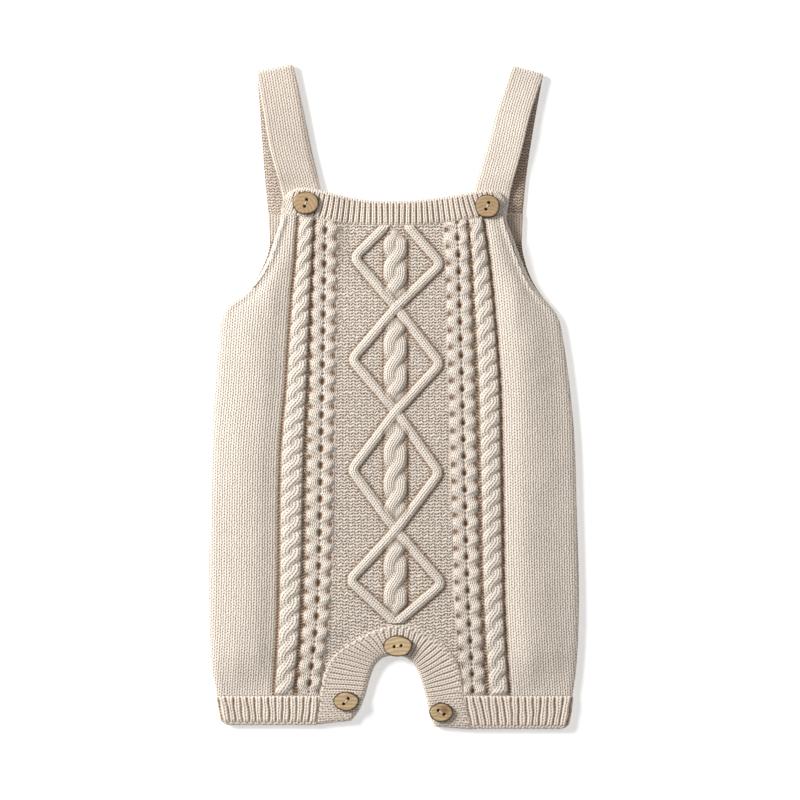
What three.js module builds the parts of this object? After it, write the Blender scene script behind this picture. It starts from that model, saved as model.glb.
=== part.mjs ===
// Baby romper in cable-knit cotton, lying flat on its back with the bib front upwards.
//
// Millimetres, +Z up. X runs across the garment (negative is the wearer's right side, seen on the
// left), Y from the leg hems to the shoulder folds, and Z up from the surface it lies on.
// The cloth is one wall thickness everywhere. The back lies flat on the surface, the front lies on
// the back, and the strap ends lie between them behind the corners of the bib.

import * as THREE from 'three';

// ---------------------------------------------------------------- sizes

const CLOTH = 2.4; // thickness of the knitted wall
const GAP = 0.3; // left open at every seam and between layers
const RIM = 0.9; // thickness of the wall at a free edge
const RIM_MID = 1.8; // thickness a little way in from that edge
const RIM_STEP = 1.2; // where the edge has reached RIM_MID
const RIM_REACH = 3.5; // where the edge has reached the full thickness

const LAYER = CLOTH + GAP; // height of one layer of cloth over the next
const LOFT = 2.0; // how far the middle of the front stands off the back

const BOTTOM = -195; // level of the cuff seams
const LOFT_START = -150; // the front has its full loft above this level
const BOTTOM_BLEND = 95; // height over which the rows of a panel straighten above the arch
const TOP_BLEND = 30; // height over which they straighten below the neck
const INNER = CLOTH * 2; // a distance from the edges at which the wall is at full thickness

// The bib rides over the strap ends: their middles, how far the raised part reaches on each side,
// the levels where it starts and is complete, and how much of it is left between the straps.
const STRAP_END = { left: -59, right: 62, flat: 17, reach: 38, start: 76, full: 104, between: 0.3 };

const BACK_BAND_BOTTOM = 100; // seam of the back panel and its neck band
const BACK_SIDE = 0.28; // first column of the back, as a share of the way from side to middle
const BACK_GROUND = 0.6; // the back's arch columns start this share of the way
const BAND_WIDTH = 20; // average width of the crotch band
const BAND_SHARES = [0, 0.3, 0.7, 0.88, 1]; // rows across a band, up to its free edge

const CUFF_TURN_STEPS = 6; // columns round the outer fold of a cuff
const CUFF_SHARES = [0, 0.3, 0.65, 0.94]; // columns across each layer, from its inner edge

const STRAP_STEPS = 8; // rows along each run of a strap
const FOLD_STEPS = 5; // rows round its shoulder fold
const STRAP_SHARES = [0, 0.05, 0.15, 0.5, 0.85, 0.95, 1]; // columns across, outer edge to inner

const BUTTON_THICK = 3.0;
const BUTTON_BEVEL = 0.5;
const BUTTON_HOLE = 1.0; // radius of each thread hole
const BUTTON_HOLE_PITCH = 4.4;
const BUTTON_SEAT_POINTS = 16; // where the cloth under a button's outline is measured

const CREAM = '#e4d7c6';
const CREAM_SHADE = '#d9cab5';
const WOOD = '#c4a06e';

// The front from the cuff seams up to the neck band. Each row is one section across the body:
// its side edges, the outer groove of each rope cable, the centre of each pair of bead columns,
// and the edges of the purl ground.
const FRONT = [
  { y: -195, left: -115.6, ropeLeft: -78.6, beadLeft: -55.2, groundLeft: -48.3,
    groundRight: 45.6, beadRight: 51.4, ropeRight: 75.6, right: 116.6 },
  { y: -180, left: -118.2, ropeLeft: -77.6, beadLeft: -53.6, groundLeft: -47.2,
    groundRight: 45.0, beadRight: 50.9, ropeRight: 74.6, right: 118.5 },
  { y: -148, left: -120.4, ropeLeft: -75.9, beadLeft: -50.2, groundLeft: -42.6,
    groundRight: 41.0, beadRight: 49.0, ropeRight: 72.6, right: 120.4 },
  { y: -110, left: -120.1, ropeLeft: -75.2, beadLeft: -48.4, groundLeft: -40.2,
    groundRight: 39.1, beadRight: 47.4, ropeRight: 71.6, right: 120.1 },
  { y: -70, left: -119.6, ropeLeft: -74.9, beadLeft: -47.6, groundLeft: -39.4,
    groundRight: 38.1, beadRight: 46.4, ropeRight: 71.0, right: 119.0 },
  { y: -30, left: -118.7, ropeLeft: -73.8, beadLeft: -46.9, groundLeft: -38.6,
    groundRight: 37.1, beadRight: 45.3, ropeRight: 70.4, right: 117.8 },
  { y: 5, left: -117.0, ropeLeft: -70.8, beadLeft: -46.2, groundLeft: -38.0,
    groundRight: 36.3, beadRight: 44.5, ropeRight: 69.6, right: 114.7 },
  { y: 36, left: -114.4, ropeLeft: -68.9, beadLeft: -45.6, groundLeft: -37.6,
    groundRight: 35.4, beadRight: 43.5, ropeRight: 67.5, right: 110.4 },
  { y: 51, left: -112.6, ropeLeft: -67.8, beadLeft: -45.3, groundLeft: -37.4,
    groundRight: 35.1, beadRight: 43.0, ropeRight: 66.2, right: 107.0 },
  { y: 58, left: -109.0, ropeLeft: -67.3, beadLeft: -45.2, groundLeft: -37.3,
    groundRight: 34.9, beadRight: 42.8, ropeRight: 65.6, right: 102.4 },
  { y: 66, left: -98.9, ropeLeft: -66.7, beadLeft: -45.1, groundLeft: -37.2,
    groundRight: 34.8, beadRight: 42.6, ropeRight: 64.9, right: 95.4 },
  { y: 76, left: -89.6, ropeLeft: -65.6, beadLeft: -44.9, groundLeft: -37.1,
    groundRight: 34.6, beadRight: 42.4, ropeRight: 63.8, right: 88.6 },
  { y: 88, left: -82.4, ropeLeft: -64.3, beadLeft: -44.7, groundLeft: -36.9,
    groundRight: 34.3, beadRight: 42.1, ropeRight: 62.4, right: 83.2 },
  { y: 102, left: -77.7, ropeLeft: -63.4, beadLeft: -44.3, groundLeft: -36.6,
    groundRight: 33.8, beadRight: 41.5, ropeRight: 60.4, right: 77.9 },
  { y: 118, left: -73.3, ropeLeft: -62.4, beadLeft: -43.8, groundLeft: -36.2,
    groundRight: 33.2, beadRight: 40.9, ropeRight: 58.4, right: 72.9 },
];

// The back has the same sides below the armholes and a slightly wider bib.
const BACK = [
  { y: -195, left: -115.6, right: 116.6 },
  { y: -148, left: -120.4, right: 120.4 },
  { y: -70, left: -119.6, right: 119.0 },
  { y: 5, left: -117.0, right: 114.7 },
  { y: 36, left: -114.4, right: 110.4 },
  { y: 51, left: -112.6, right: 107.0 },
  { y: 58, left: -109.0, right: 102.4 },
  { y: 66, left: -99.2, right: 95.9 },
  { y: 76, left: -90.3, right: 89.8 },
  { y: 88, left: -83.9, right: 85.4 },
  { y: 100, left: -81.0, right: 83.4 },
];

// Columns of the front panel between the lines of FRONT, with the relief of the knitting:
// rope cables and bead columns stand up, and a groove runs down each side of a rope.
const KNIT_COLUMNS = [
  { from: 'left', to: 'ropeLeft', at: 0.50, relief: 0.1 },
  { from: 'left', to: 'ropeLeft', at: 0.93, relief: 0.3 },
  { from: 'ropeLeft', to: 'beadLeft', at: 0.00, relief: -0.7 },
  { from: 'ropeLeft', to: 'beadLeft', at: 0.12, relief: 1.0 },
  { from: 'ropeLeft', to: 'beadLeft', at: 0.31, relief: 1.8 },
  { from: 'ropeLeft', to: 'beadLeft', at: 0.50, relief: 1.0 },
  { from: 'ropeLeft', to: 'beadLeft', at: 0.61, relief: -0.6 },
  { from: 'ropeLeft', to: 'beadLeft', at: 0.82, relief: 1.0 },
  { from: 'ropeLeft', to: 'beadLeft', at: 1.00, relief: 0.3 },
  { from: 'beadLeft', to: 'groundLeft', at: 0.50, relief: 1.0 },
  { from: 'groundRight', to: 'beadRight', at: 0.50, relief: 1.0 },
  { from: 'beadRight', to: 'ropeRight', at: 0.00, relief: 0.3 },
  { from: 'beadRight', to: 'ropeRight', at: 0.18, relief: 1.0 },
  { from: 'beadRight', to: 'ropeRight', at: 0.38, relief: -0.6 },
  { from: 'beadRight', to: 'ropeRight', at: 0.48, relief: 1.0 },
  { from: 'beadRight', to: 'ropeRight', at: 0.68, relief: 1.8 },
  { from: 'beadRight', to: 'ropeRight', at: 0.88, relief: 1.0 },
  { from: 'beadRight', to: 'ropeRight', at: 1.00, relief: -0.7 },
  { from: 'ropeRight', to: 'right', at: 0.07, relief: 0.3 },
  { from: 'ropeRight', to: 'right', at: 0.50, relief: 0.1 },
];

// The neck edge: where the front band starts and ends above the panel, across the bib.
const NECK = [
  { x: -73.2, bottom: 117.7, top: 122.5 },
  { x: -72.2, bottom: 117.6, top: 127.0 },
  { x: -69.7, bottom: 117.5, top: 131.0 },
  { x: -61.0, bottom: 116.8, top: 135.2 },
  { x: -48.0, bottom: 115.2, top: 133.7 },
  { x: -34.7, bottom: 112.6, top: 130.4 },
  { x: -18.0, bottom: 111.1, top: 127.5 },
  { x: 0.0, bottom: 110.8, top: 126.8 },
  { x: 18.0, bottom: 111.2, top: 127.7 },
  { x: 33.2, bottom: 112.6, top: 129.6 },
  { x: 46.0, bottom: 114.3, top: 131.4 },
  { x: 61.0, bottom: 116.2, top: 133.9 },
  { x: 69.4, bottom: 117.1, top: 131.4 },
  { x: 71.8, bottom: 117.2, top: 127.5 },
  { x: 72.8, bottom: 117.3, top: 122.5 },
];

// The arch between the legs: the free edge of the crotch band and its seam with the panel.
const ARCH = [
  { innerX: -27.8, innerY: -211.6, outerX: -50.6, outerY: -214.0 },
  { innerX: -22.6, innerY: -204.8, outerX: -48.9, outerY: -204.0 },
  { innerX: -18.6, innerY: -195.0, outerX: -48.1, outerY: -194.2 },
  { innerX: -15.6, innerY: -184.2, outerX: -45.2, outerY: -180.5 },
  { innerX: -12.6, innerY: -176.2, outerX: -39.0, outerY: -168.8 },
  { innerX: -8.6, innerY: -171.4, outerX: -28.0, outerY: -160.4 },
  { innerX: -4.0, innerY: -169.3, outerX: -14.0, outerY: -152.9 },
  { innerX: 1.8, innerY: -168.9, outerX: 1.8, outerY: -148.6 },
  { innerX: 7.6, innerY: -170.2, outerX: 15.0, outerY: -150.9 },
  { innerX: 12.2, innerY: -173.4, outerX: 27.0, outerY: -157.3 },
  { innerX: 15.6, innerY: -179.0, outerX: 37.0, outerY: -165.8 },
  { innerX: 18.4, innerY: -187.5, outerX: 43.2, outerY: -178.6 },
  { innerX: 21.0, innerY: -197.0, outerX: 45.6, outerY: -194.2 },
  { innerX: 23.3, innerY: -208.0, outerX: 48.4, outerY: -206.0 },
  { innerX: 26.8, innerY: -215.4, outerX: 51.0, outerY: -217.2 },
];
const ARCH_CENTRE = new THREE.Vector2(1.8, -190);
const ARCH_SEAM = ARCH.slice(2, 13); // the stretch sewn to the panel, between the cuff seams

// Each leg cuff: its side, the rows of its height, and its outer and inner edges there.
const CUFFS = [
  { side: 'left', outward: -1, rows: [
    { y: -195.3, outer: -115.6, inner: -48.6 },
    { y: -204.0, outer: -114.0, inner: -49.3 },
    { y: -212.0, outer: -112.5, inner: -50.8 },
    { y: -214.4, outer: -110.0, inner: -51.0 },
  ] },
  { side: 'right', outward: 1, rows: [
    { y: -195.3, outer: 116.6, inner: 46.2 },
    { y: -206.0, outer: 115.5, inner: 48.8 },
    { y: -214.6, outer: 113.6, inner: 50.9 },
    { y: -217.0, outer: 111.0, inner: 51.4 },
  ] },
];

// Each strap from its seam on the back band, up to the fold and down to its end behind the bib.
// outer is the edge away from the neck. lift is the height of its underside.
const STRAPS = [
  { side: 'left', outward: -1, backRun: [
    { outerX: -81.9, outerY: 118.6, innerX: -57.6, innerY: 118.6, lift: 0 },
    { outerX: -84.4, outerY: 143.0, innerX: -60.0, innerY: 144.0, lift: 0 },
    { outerX: -86.6, outerY: 172.0, innerX: -62.4, innerY: 175.0, lift: 0 },
    { outerX: -89.2, outerY: 209.4, innerX: -65.2, innerY: 214.3, lift: 0 },
  ], frontRun: [
    { outerX: -89.2, outerY: 209.4, innerX: -65.2, innerY: 214.3, lift: LAYER },
    { outerX: -84.7, outerY: 184.3, innerX: -58.9, innerY: 186.5, lift: LAYER },
    { outerX: -80.4, outerY: 160.0, innerX: -53.6, innerY: 160.5, lift: LAYER },
    { outerX: -73.3, outerY: 133.7, innerX: -47.6, innerY: 133.7, lift: LAYER },
    { outerX: -69.4, outerY: 109.0, innerX: -45.6, innerY: 108.0, lift: LAYER },
  ] },
  { side: 'right', outward: 1, backRun: [
    { outerX: 84.0, outerY: 118.6, innerX: 60.4, innerY: 118.6, lift: 0 },
    { outerX: 86.6, outerY: 145.0, innerX: 63.6, innerY: 146.0, lift: 0 },
    { outerX: 91.0, outerY: 174.0, innerX: 69.0, innerY: 177.0, lift: 0 },
    { outerX: 97.0, outerY: 207.6, innerX: 76.6, innerY: 212.9, lift: 0 },
  ], frontRun: [
    { outerX: 97.0, outerY: 207.6, innerX: 76.6, innerY: 212.9, lift: LAYER },
    { outerX: 89.1, outerY: 184.3, innerX: 66.6, innerY: 185.6, lift: LAYER },
    { outerX: 83.2, outerY: 160.0, innerX: 59.6, innerY: 160.5, lift: LAYER },
    { outerX: 76.2, outerY: 133.7, innerX: 52.2, innerY: 133.7, lift: LAYER },
    { outerX: 72.4, outerY: 109.0, innerX: 49.6, innerY: 108.0, lift: LAYER },
  ] },
];

// The largest soft folds of the front: ridges (or troughs, where the height is negative).
const FOLDS = [
  { fromX: -100, fromY: 52, toX: -80, toY: 8, width: 9, height: 0.9 },
  { fromX: -84, fromY: 84, toX: -76, toY: 44, width: 6, height: 0.7 },
  { fromX: 96, fromY: 50, toX: 80, toY: 2, width: 9, height: 0.8 },
  { fromX: 82, fromY: 86, toX: 77, toY: 40, width: 6, height: 0.8 },
  { fromX: -96, fromY: -60, toX: -100, toY: -150, width: 12, height: -0.5 },
  { fromX: 98, fromY: -40, toX: 96, toY: -160, width: 11, height: -0.6 },
  { fromX: -30, fromY: -140, toX: -62, toY: -172, width: 7, height: 0.6 },
  { fromX: 32, fromY: -142, toX: 60, toY: -176, width: 7, height: 0.6 },
];

// Slices of a small branch: each has its own size, and its own turn of the thread holes.
const BUTTONS = [
  { name: 'button_strap_left', x: -57.0, y: 124.8, width: 17.6, height: 15.0, turn: 80 },
  { name: 'button_strap_right', x: 60.6, y: 122.9, width: 16.4, height: 15.4, turn: 70 },
  { name: 'button_crotch', x: 2.6, y: -162.2, width: 19.4, height: 13.8, turn: 0 },
  { name: 'button_leg_left', x: -31.0, y: -198.2, width: 17.0, height: 12.4, turn: 35 },
  { name: 'button_leg_right', x: 30.8, y: -205.4, width: 15.8, height: 12.4, turn: -35 },
];

// ---------------------------------------------------------------- curves through the tables

const mix = THREE.MathUtils.lerp;
const smooth = THREE.MathUtils.smoothstep;

// A smooth curve of one column of a table against another.
function curveOf(rows, along, value) {
  const curve = new THREE.CubicInterpolant(
    rows.map((row) => row[along]),
    rows.map((row) => row[value]),
    1,
    [0],
  );
  return (t) => curve.evaluate(t)[0];
}

// All the value columns of a table as curves of its first column.
function curvesOf(rows, along) {
  const values = Object.keys(rows[0]).filter((key) => key !== along);
  return Object.fromEntries(values.map((key) => [key, curveOf(rows, along, key)]));
}

// The same levels with points added halfway.
function halved(levels) {
  const between = levels.slice(1).map((level, i) => (level + levels[i]) / 2);
  return [...levels, ...between].sort((a, b) => a - b);
}

const front = curvesOf(FRONT, 'y');
const back = curvesOf(BACK, 'y');
const neck = curvesOf(NECK, 'x');

// ---------------------------------------------------------------- closed cloth walls

// One closed wall between an outer and an inner grid of points. Columns cross rows so that
// columns x rows points to the outer side.
function closedWall(outer, inner) {
  const rows = outer.length;
  const columns = outer[0].length;
  const size = rows * columns;
  const index = [];
  const quad = (a, b, c, d) => index.push(a, b, c, a, c, d);
  for (let i = 0; i < rows - 1; i += 1) {
    for (let j = 0; j < columns - 1; j += 1) {
      const a = i * columns + j;
      const d = a + columns;
      quad(a, a + 1, d + 1, d);
      quad(size + a, size + d, size + d + 1, size + a + 1);
    }
  }
  const edge = [];
  for (let j = 0; j < columns - 1; j += 1) edge.push(j);
  for (let i = 0; i < rows - 1; i += 1) edge.push(i * columns + columns - 1);
  for (let j = columns - 1; j > 0; j -= 1) edge.push((rows - 1) * columns + j);
  for (let i = rows - 1; i > 0; i -= 1) edge.push(i * columns);
  edge.forEach((p, k) => {
    const q = edge[(k + 1) % edge.length];
    quad(p, size + p, size + q, q);
  });
  const points = [...outer.flat(), ...inner.flat()].flatMap((point) => point.toArray());
  const geometry = new THREE.BufferGeometry();
  geometry.setAttribute('position', new THREE.Float32BufferAttribute(points, 3));
  geometry.setIndex(index);
  geometry.computeVertexNormals();
  return geometry;
}

// Thickness of the wall at a distance from its free edge.
function rimThickness(distance) {
  if (distance < RIM_STEP) return mix(RIM, RIM_MID, distance / RIM_STEP);
  return mix(RIM_MID, CLOTH, smooth(distance, RIM_STEP, RIM_REACH));
}

// ---------------------------------------------------------------- height of the front

// A soft ridge along a line, fading to its ends.
function foldHeight(fold, x, y) {
  const start = new THREE.Vector2(fold.fromX, fold.fromY);
  const run = new THREE.Vector2(fold.toX, fold.toY).sub(start);
  const offset = new THREE.Vector2(x, y).sub(start);
  const along = offset.dot(run) / run.lengthSq();
  const across = Math.abs(offset.cross(run)) / run.length();
  if (along <= 0 || along >= 1) return 0;
  return fold.height * Math.sin(Math.PI * along) * Math.exp(-((across / fold.width) ** 2));
}

// How much of a raised middle is left at a point: none at the side edges and the cuffs.
function looseness(x, y) {
  const middle = (front.left(y) + front.right(y)) / 2;
  const half = (front.right(y) - front.left(y)) / 2;
  const side = Math.min(1, Math.abs(x - middle) / half);
  return (1 - side ** 3) * smooth(y, BOTTOM, LOFT_START);
}

// The bib rides over the strap ends and dips between them.
function strapLift(x, y) {
  const { left, right, flat, reach, start, full, between } = STRAP_END;
  const over = (middle) => 1 - smooth(Math.abs(x - middle), flat, reach);
  return LAYER * smooth(y, start, full) * Math.max(over(left), over(right), between);
}

// Underside of the front at a point of the plan.
function frontUnderside(x, y) {
  const folds = FOLDS.reduce((sum, fold) => sum + foldHeight(fold, x, y), 0);
  const loose = looseness(x, y);
  const loft = Math.max(0, LOFT * loose + folds * Math.min(1, loose * 3));
  return LAYER + loft + strapLift(x, y);
}

// ---------------------------------------------------------------- front and back panels

// Columns near both side edges, then the given ones, from left to right. Each has a position at a
// level y, a relief and its distance from the nearer side edge.
function withRims(lines, columns) {
  const rims = [0, RIM_STEP, RIM_REACH];
  const leftRim = rims.map((inset) => ({ xAt: (y) => lines.left(y) + inset, inset, relief: 0 }));
  const rightRim = rims.toReversed().map(
    (inset) => ({ xAt: (y) => lines.right(y) - inset, inset, relief: 0 }),
  );
  return [...leftRim, ...columns, ...rightRim];
}

// Columns that end on the points of the arch seam, spread between two lines higher up.
function archColumns(leftLine, rightLine, relief) {
  const first = ARCH_SEAM[0].outerX;
  const last = ARCH_SEAM.at(-1).outerX;
  return ARCH_SEAM.map((seam) => {
    const share = (seam.outerX - first) / (last - first);
    return { xAt: (y) => mix(leftLine(y), rightLine(y), share), inset: INNER, relief, seam };
  });
}

function frontColumns() {
  const knit = KNIT_COLUMNS.map(({ from, to, at, relief }) => ({
    xAt: (y) => mix(front[from](y), front[to](y), at),
    inset: INNER,
    relief,
  }));
  const half = knit.length / 2;
  const ground = archColumns(front.groundLeft, front.groundRight, -0.2);
  return withRims(front, [...knit.slice(0, half), ...ground, ...knit.slice(half)]);
}

function backColumns() {
  const line = (edge, share) => (y) => mix(edge(y), 0, share);
  const side = (edge) => ({ xAt: line(edge, BACK_SIDE), inset: INNER, relief: 0 });
  const middle = archColumns(line(back.left, BACK_GROUND), line(back.right, BACK_GROUND), 0);
  return withRims(back, [side(back.left), ...middle, side(back.right)]);
}

// Plan points of a panel: a grid of rows by columns between the cuff seams with the arch, and the
// top edge.
function panelPlan(columns, levels, topEdge) {
  const top = levels.at(-1);
  return levels.map((level) => columns.map(({ xAt, seam }) => {
    const point = new THREE.Vector2(xAt(level), level);
    if (seam) {
      const target = new THREE.Vector2(seam.outerX, seam.outerY);
      target.add(target.clone().sub(ARCH_CENTRE).setLength(GAP * 1.2));
      const fade = Math.max(0, 1 - (level - BOTTOM) / BOTTOM_BLEND);
      point.x += (target.x - xAt(BOTTOM)) * fade;
      point.y += (target.y - BOTTOM) * fade;
    }
    const reach = Math.max(0, 1 - (top - level) / TOP_BLEND);
    point.y += (topEdge(xAt(top)) - top) * reach;
    return point;
  }));
}

const frontTop = (x) => neck.bottom(x) - GAP;

function frontPanel() {
  const columns = frontColumns();
  const plan = panelPlan(columns, halved(FRONT.map((row) => row.y)), frontTop);
  const under = plan.map((row) => row.map(({ x, y }) => (
    new THREE.Vector3(x, y, frontUnderside(x, y))
  )));
  const over = under.map((row, i) => row.map((point, j) => {
    const { inset, relief } = columns[j];
    const flatEnds = i === 0 || i === plan.length - 1 ? 0 : relief;
    return new THREE.Vector3(point.x, point.y, point.z + rimThickness(inset) + flatEnds);
  }));
  return closedWall(over, under);
}

function backPanel() {
  const columns = backColumns();
  const levels = halved(BACK.map((row) => row.y));
  const plan = panelPlan(columns, levels, () => BACK_BAND_BOTTOM - GAP);
  const over = plan.map((row) => row.map(({ x, y }) => new THREE.Vector3(x, y, CLOTH)));
  const under = plan.map((row) => row.map(({ x, y }, j) => (
    new THREE.Vector3(x, y, CLOTH - rimThickness(columns[j].inset))
  )));
  return closedWall(over, under);
}

// ---------------------------------------------------------------- neck bands

// The front band stands on the points of the panel's top edge.
function frontNeckBand() {
  const columns = frontColumns();
  const panelTop = FRONT.at(-1).y;
  const foot = columns.map(({ xAt }) => {
    const x = xAt(panelTop);
    return new THREE.Vector2(x, neck.bottom(x));
  });
  const under = BAND_SHARES.map((share) => foot.map(({ x, y }) => {
    const height = mix(y, neck.top(x), share);
    return new THREE.Vector3(x, height, frontUnderside(x, height));
  }));
  const over = under.map((row, i) => row.map(({ x, y, z }, j) => {
    const toEdge = (1 - BAND_SHARES[i]) * (neck.top(x) - foot[j].y);
    const thickness = rimThickness(Math.min(toEdge, columns[j].inset));
    return new THREE.Vector3(x, y, z + thickness);
  }));
  return closedWall(over, under);
}

// The back band lies between the seams of the straps, lower in the middle of the neck.
const BACK_BAND = [
  { x: -81.9, foot: -81.0, top: 118.3, inset: 0 },
  { x: -80.7, foot: -79.8, top: 118.3, inset: RIM_STEP },
  { x: -78.4, foot: -77.5, top: 118.3, inset: RIM_REACH },
  { x: -56.0, foot: -55.4, top: 118.3, inset: RIM_REACH },
  { x: -36.0, foot: -36.0, top: 115.4, inset: RIM_REACH },
  { x: 0.0, foot: 0.0, top: 114.0, inset: RIM_REACH },
  { x: 38.0, foot: 38.0, top: 115.4, inset: RIM_REACH },
  { x: 58.6, foot: 58.0, top: 118.3, inset: RIM_REACH },
  { x: 80.5, foot: 79.9, top: 118.3, inset: RIM_REACH },
  { x: 82.8, foot: 82.2, top: 118.3, inset: RIM_STEP },
  { x: 84.0, foot: 83.4, top: 118.3, inset: 0 },
];

function backNeckBand() {
  const plan = BAND_SHARES.map((share) => BACK_BAND.map(({ x, foot, top }) => (
    new THREE.Vector2(mix(foot, x, share), mix(BACK_BAND_BOTTOM, top, share))
  )));
  const over = plan.map((row) => row.map(({ x, y }) => new THREE.Vector3(x, y, CLOTH)));
  const under = plan.map((row) => row.map(({ x, y }, j) => (
    new THREE.Vector3(x, y, CLOTH - rimThickness(BACK_BAND[j].inset))
  )));
  return closedWall(over, under);
}

// ---------------------------------------------------------------- crotch bands

// Plan rows of a band from its free edge on the arch out to its seam.
function archPlan() {
  return BAND_SHARES.toReversed().map((share) => ARCH.map((row) => new THREE.Vector2(
    mix(row.outerX, row.innerX, share),
    mix(row.outerY, row.innerY, share),
  )));
}

const archRim = (i) => rimThickness((1 - BAND_SHARES.toReversed()[i]) * BAND_WIDTH);

function frontCrotchBand() {
  const under = archPlan().map((row) => row.map(({ x, y }) => (
    new THREE.Vector3(x, y, frontUnderside(x, y))
  )));
  const over = under.map((row, i) => row.map(({ x, y, z }) => (
    new THREE.Vector3(x, y, z + archRim(i))
  )));
  return closedWall(over, under);
}

function backCrotchBand() {
  const plan = archPlan();
  const over = plan.map((row) => row.map(({ x, y }) => new THREE.Vector3(x, y, CLOTH)));
  const under = plan.map((row, i) => row.map(({ x, y }) => (
    new THREE.Vector3(x, y, CLOTH - archRim(i))
  )));
  return closedWall(over, under);
}

// ---------------------------------------------------------------- cuffs

// A cuff is one wall folded round the outer side of the leg: its section runs along the back
// layer, turns up at the side and returns along the front layer.
function cuffSection(inner, outer) {
  const outward = Math.sign(outer);
  const centreHeight = CLOTH + GAP / 2;
  const turnX = outer - outward * (CLOTH + GAP / 2);
  const layer = CUFF_SHARES.map((share) => mix(inner, turnX, share));
  const back = layer.map((x) => ({ x, outerZ: 0, innerX: x, innerZ: CLOTH }));
  const turn = [];
  for (let k = 0; k <= CUFF_TURN_STEPS; k += 1) {
    const angle = -Math.PI / 2 + (Math.PI * k) / CUFF_TURN_STEPS;
    turn.push({
      x: turnX + outward * centreHeight * Math.cos(angle),
      outerZ: centreHeight + centreHeight * Math.sin(angle),
      innerX: turnX + (outward * GAP * Math.cos(angle)) / 2,
      innerZ: centreHeight + (GAP * Math.sin(angle)) / 2,
    });
  }
  const front = back.toReversed().map(({ x }) => (
    { x, outerZ: LAYER + CLOTH, innerX: x, innerZ: LAYER }
  ));
  return [...back, ...turn, ...front];
}

function legCuff({ outward, rows }) {
  const upwards = rows.toReversed();
  const sections = upwards.map(({ inner, outer }) => {
    const section = cuffSection(inner, outer);
    return outward < 0 ? section : section.toReversed();
  });
  const outer = sections.map((section, i) => section.map(({ x, outerZ }) => (
    new THREE.Vector3(x, upwards[i].y, outerZ)
  )));
  const inner = sections.map((section, i) => section.map(({ innerX, innerZ }) => (
    new THREE.Vector3(innerX, upwards[i].y, innerZ)
  )));
  return closedWall(outer, inner);
}

// ---------------------------------------------------------------- straps

// Evenly spaced rows along one run of a strap: both edges, at the middle of the wall.
function strapRun(stations) {
  const edge = (xKey, yKey) => new THREE.CatmullRomCurve3(stations.map((station) => (
    new THREE.Vector3(station[xKey], station[yKey], station.lift + CLOTH / 2)
  )));
  const outer = edge('outerX', 'outerY').getPoints(STRAP_STEPS);
  const inner = edge('innerX', 'innerY').getPoints(STRAP_STEPS);
  return outer.map((point, i) => ({ outer: point, inner: inner[i] }));
}

// Rows of the half turn over the shoulder, about the line where the back run ends.
function strapFold({ outer, inner }) {
  const along = inner.clone().sub(outer).setZ(0).normalize();
  const up = new THREE.Vector3(0, 0, 1);
  const beyond = up.clone().cross(along);
  beyond.multiplyScalar(Math.sign(beyond.y));
  const radius = LAYER / 2;
  const rows = [];
  for (let k = 1; k < FOLD_STEPS; k += 1) {
    const angle = (Math.PI * k) / FOLD_STEPS;
    const shift = beyond.clone().multiplyScalar(radius * Math.sin(angle));
    shift.z += radius * (1 - Math.cos(angle));
    rows.push({
      outer: outer.clone().add(shift),
      inner: inner.clone().add(shift),
      facing: beyond.clone().multiplyScalar(Math.sin(angle)).setZ(-Math.cos(angle)),
    });
  }
  return rows;
}

function strap({ outward, backRun, frontRun }) {
  const facing = (z) => (row) => ({ ...row, facing: new THREE.Vector3(0, 0, z) });
  const backRows = strapRun(backRun).map(facing(-1));
  const frontRows = strapRun(frontRun).map(facing(1));
  const rows = [...backRows, ...strapFold(backRows.at(-1)), ...frontRows];
  const shares = outward > 0 ? STRAP_SHARES : STRAP_SHARES.toReversed();
  const grid = (sign) => rows.map((row) => shares.map((share) => {
    const width = row.outer.distanceTo(row.inner);
    const toEdge = Math.min(share, 1 - share) * width;
    const reach = (sign * rimThickness(toEdge)) / 2;
    return row.outer.clone().lerp(row.inner, share).addScaledVector(row.facing, reach);
  }));
  return closedWall(grid(1), grid(-1));
}

// ---------------------------------------------------------------- buttons

// An oval slice with a bevelled edge and two thread holes.
function button({ width, height, turn }) {
  const outline = new THREE.Shape();
  outline.absellipse(
    0, 0, width / 2 - BUTTON_BEVEL, height / 2 - BUTTON_BEVEL, 0, Math.PI * 2, false,
  );
  const angle = THREE.MathUtils.degToRad(turn);
  for (const side of [-1, 1]) {
    const hole = new THREE.Path();
    const reach = (side * BUTTON_HOLE_PITCH) / 2;
    const x = reach * Math.cos(angle);
    const y = reach * Math.sin(angle);
    hole.absarc(x, y, BUTTON_HOLE + BUTTON_BEVEL, 0, Math.PI * 2, true);
    outline.holes.push(hole);
  }
  const geometry = new THREE.ExtrudeGeometry(outline, {
    depth: BUTTON_THICK - 2 * BUTTON_BEVEL,
    bevelThickness: BUTTON_BEVEL,
    bevelSize: BUTTON_BEVEL,
    bevelSegments: 1,
    curveSegments: 12,
  });
  return geometry.translate(0, 0, BUTTON_BEVEL);
}

// Height at which a button clears the cloth under its whole outline.
function buttonSeat({ x, y, width, height }) {
  const heights = [];
  for (let k = 0; k < BUTTON_SEAT_POINTS; k += 1) {
    const angle = (Math.PI * 2 * k) / BUTTON_SEAT_POINTS;
    const rimX = x + (Math.cos(angle) * width) / 2;
    const rimY = y + (Math.sin(angle) * height) / 2;
    heights.push(frontUnderside(rimX, rimY));
  }
  return Math.max(frontUnderside(x, y), ...heights) + CLOTH + GAP;
}

// ---------------------------------------------------------------- the garment

function piece(name, geometry, color, roughness) {
  const material = new THREE.MeshStandardMaterial({ color, roughness, metalness: 0 });
  const mesh = new THREE.Mesh(geometry, material);
  mesh.name = name;
  return mesh;
}

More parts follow.
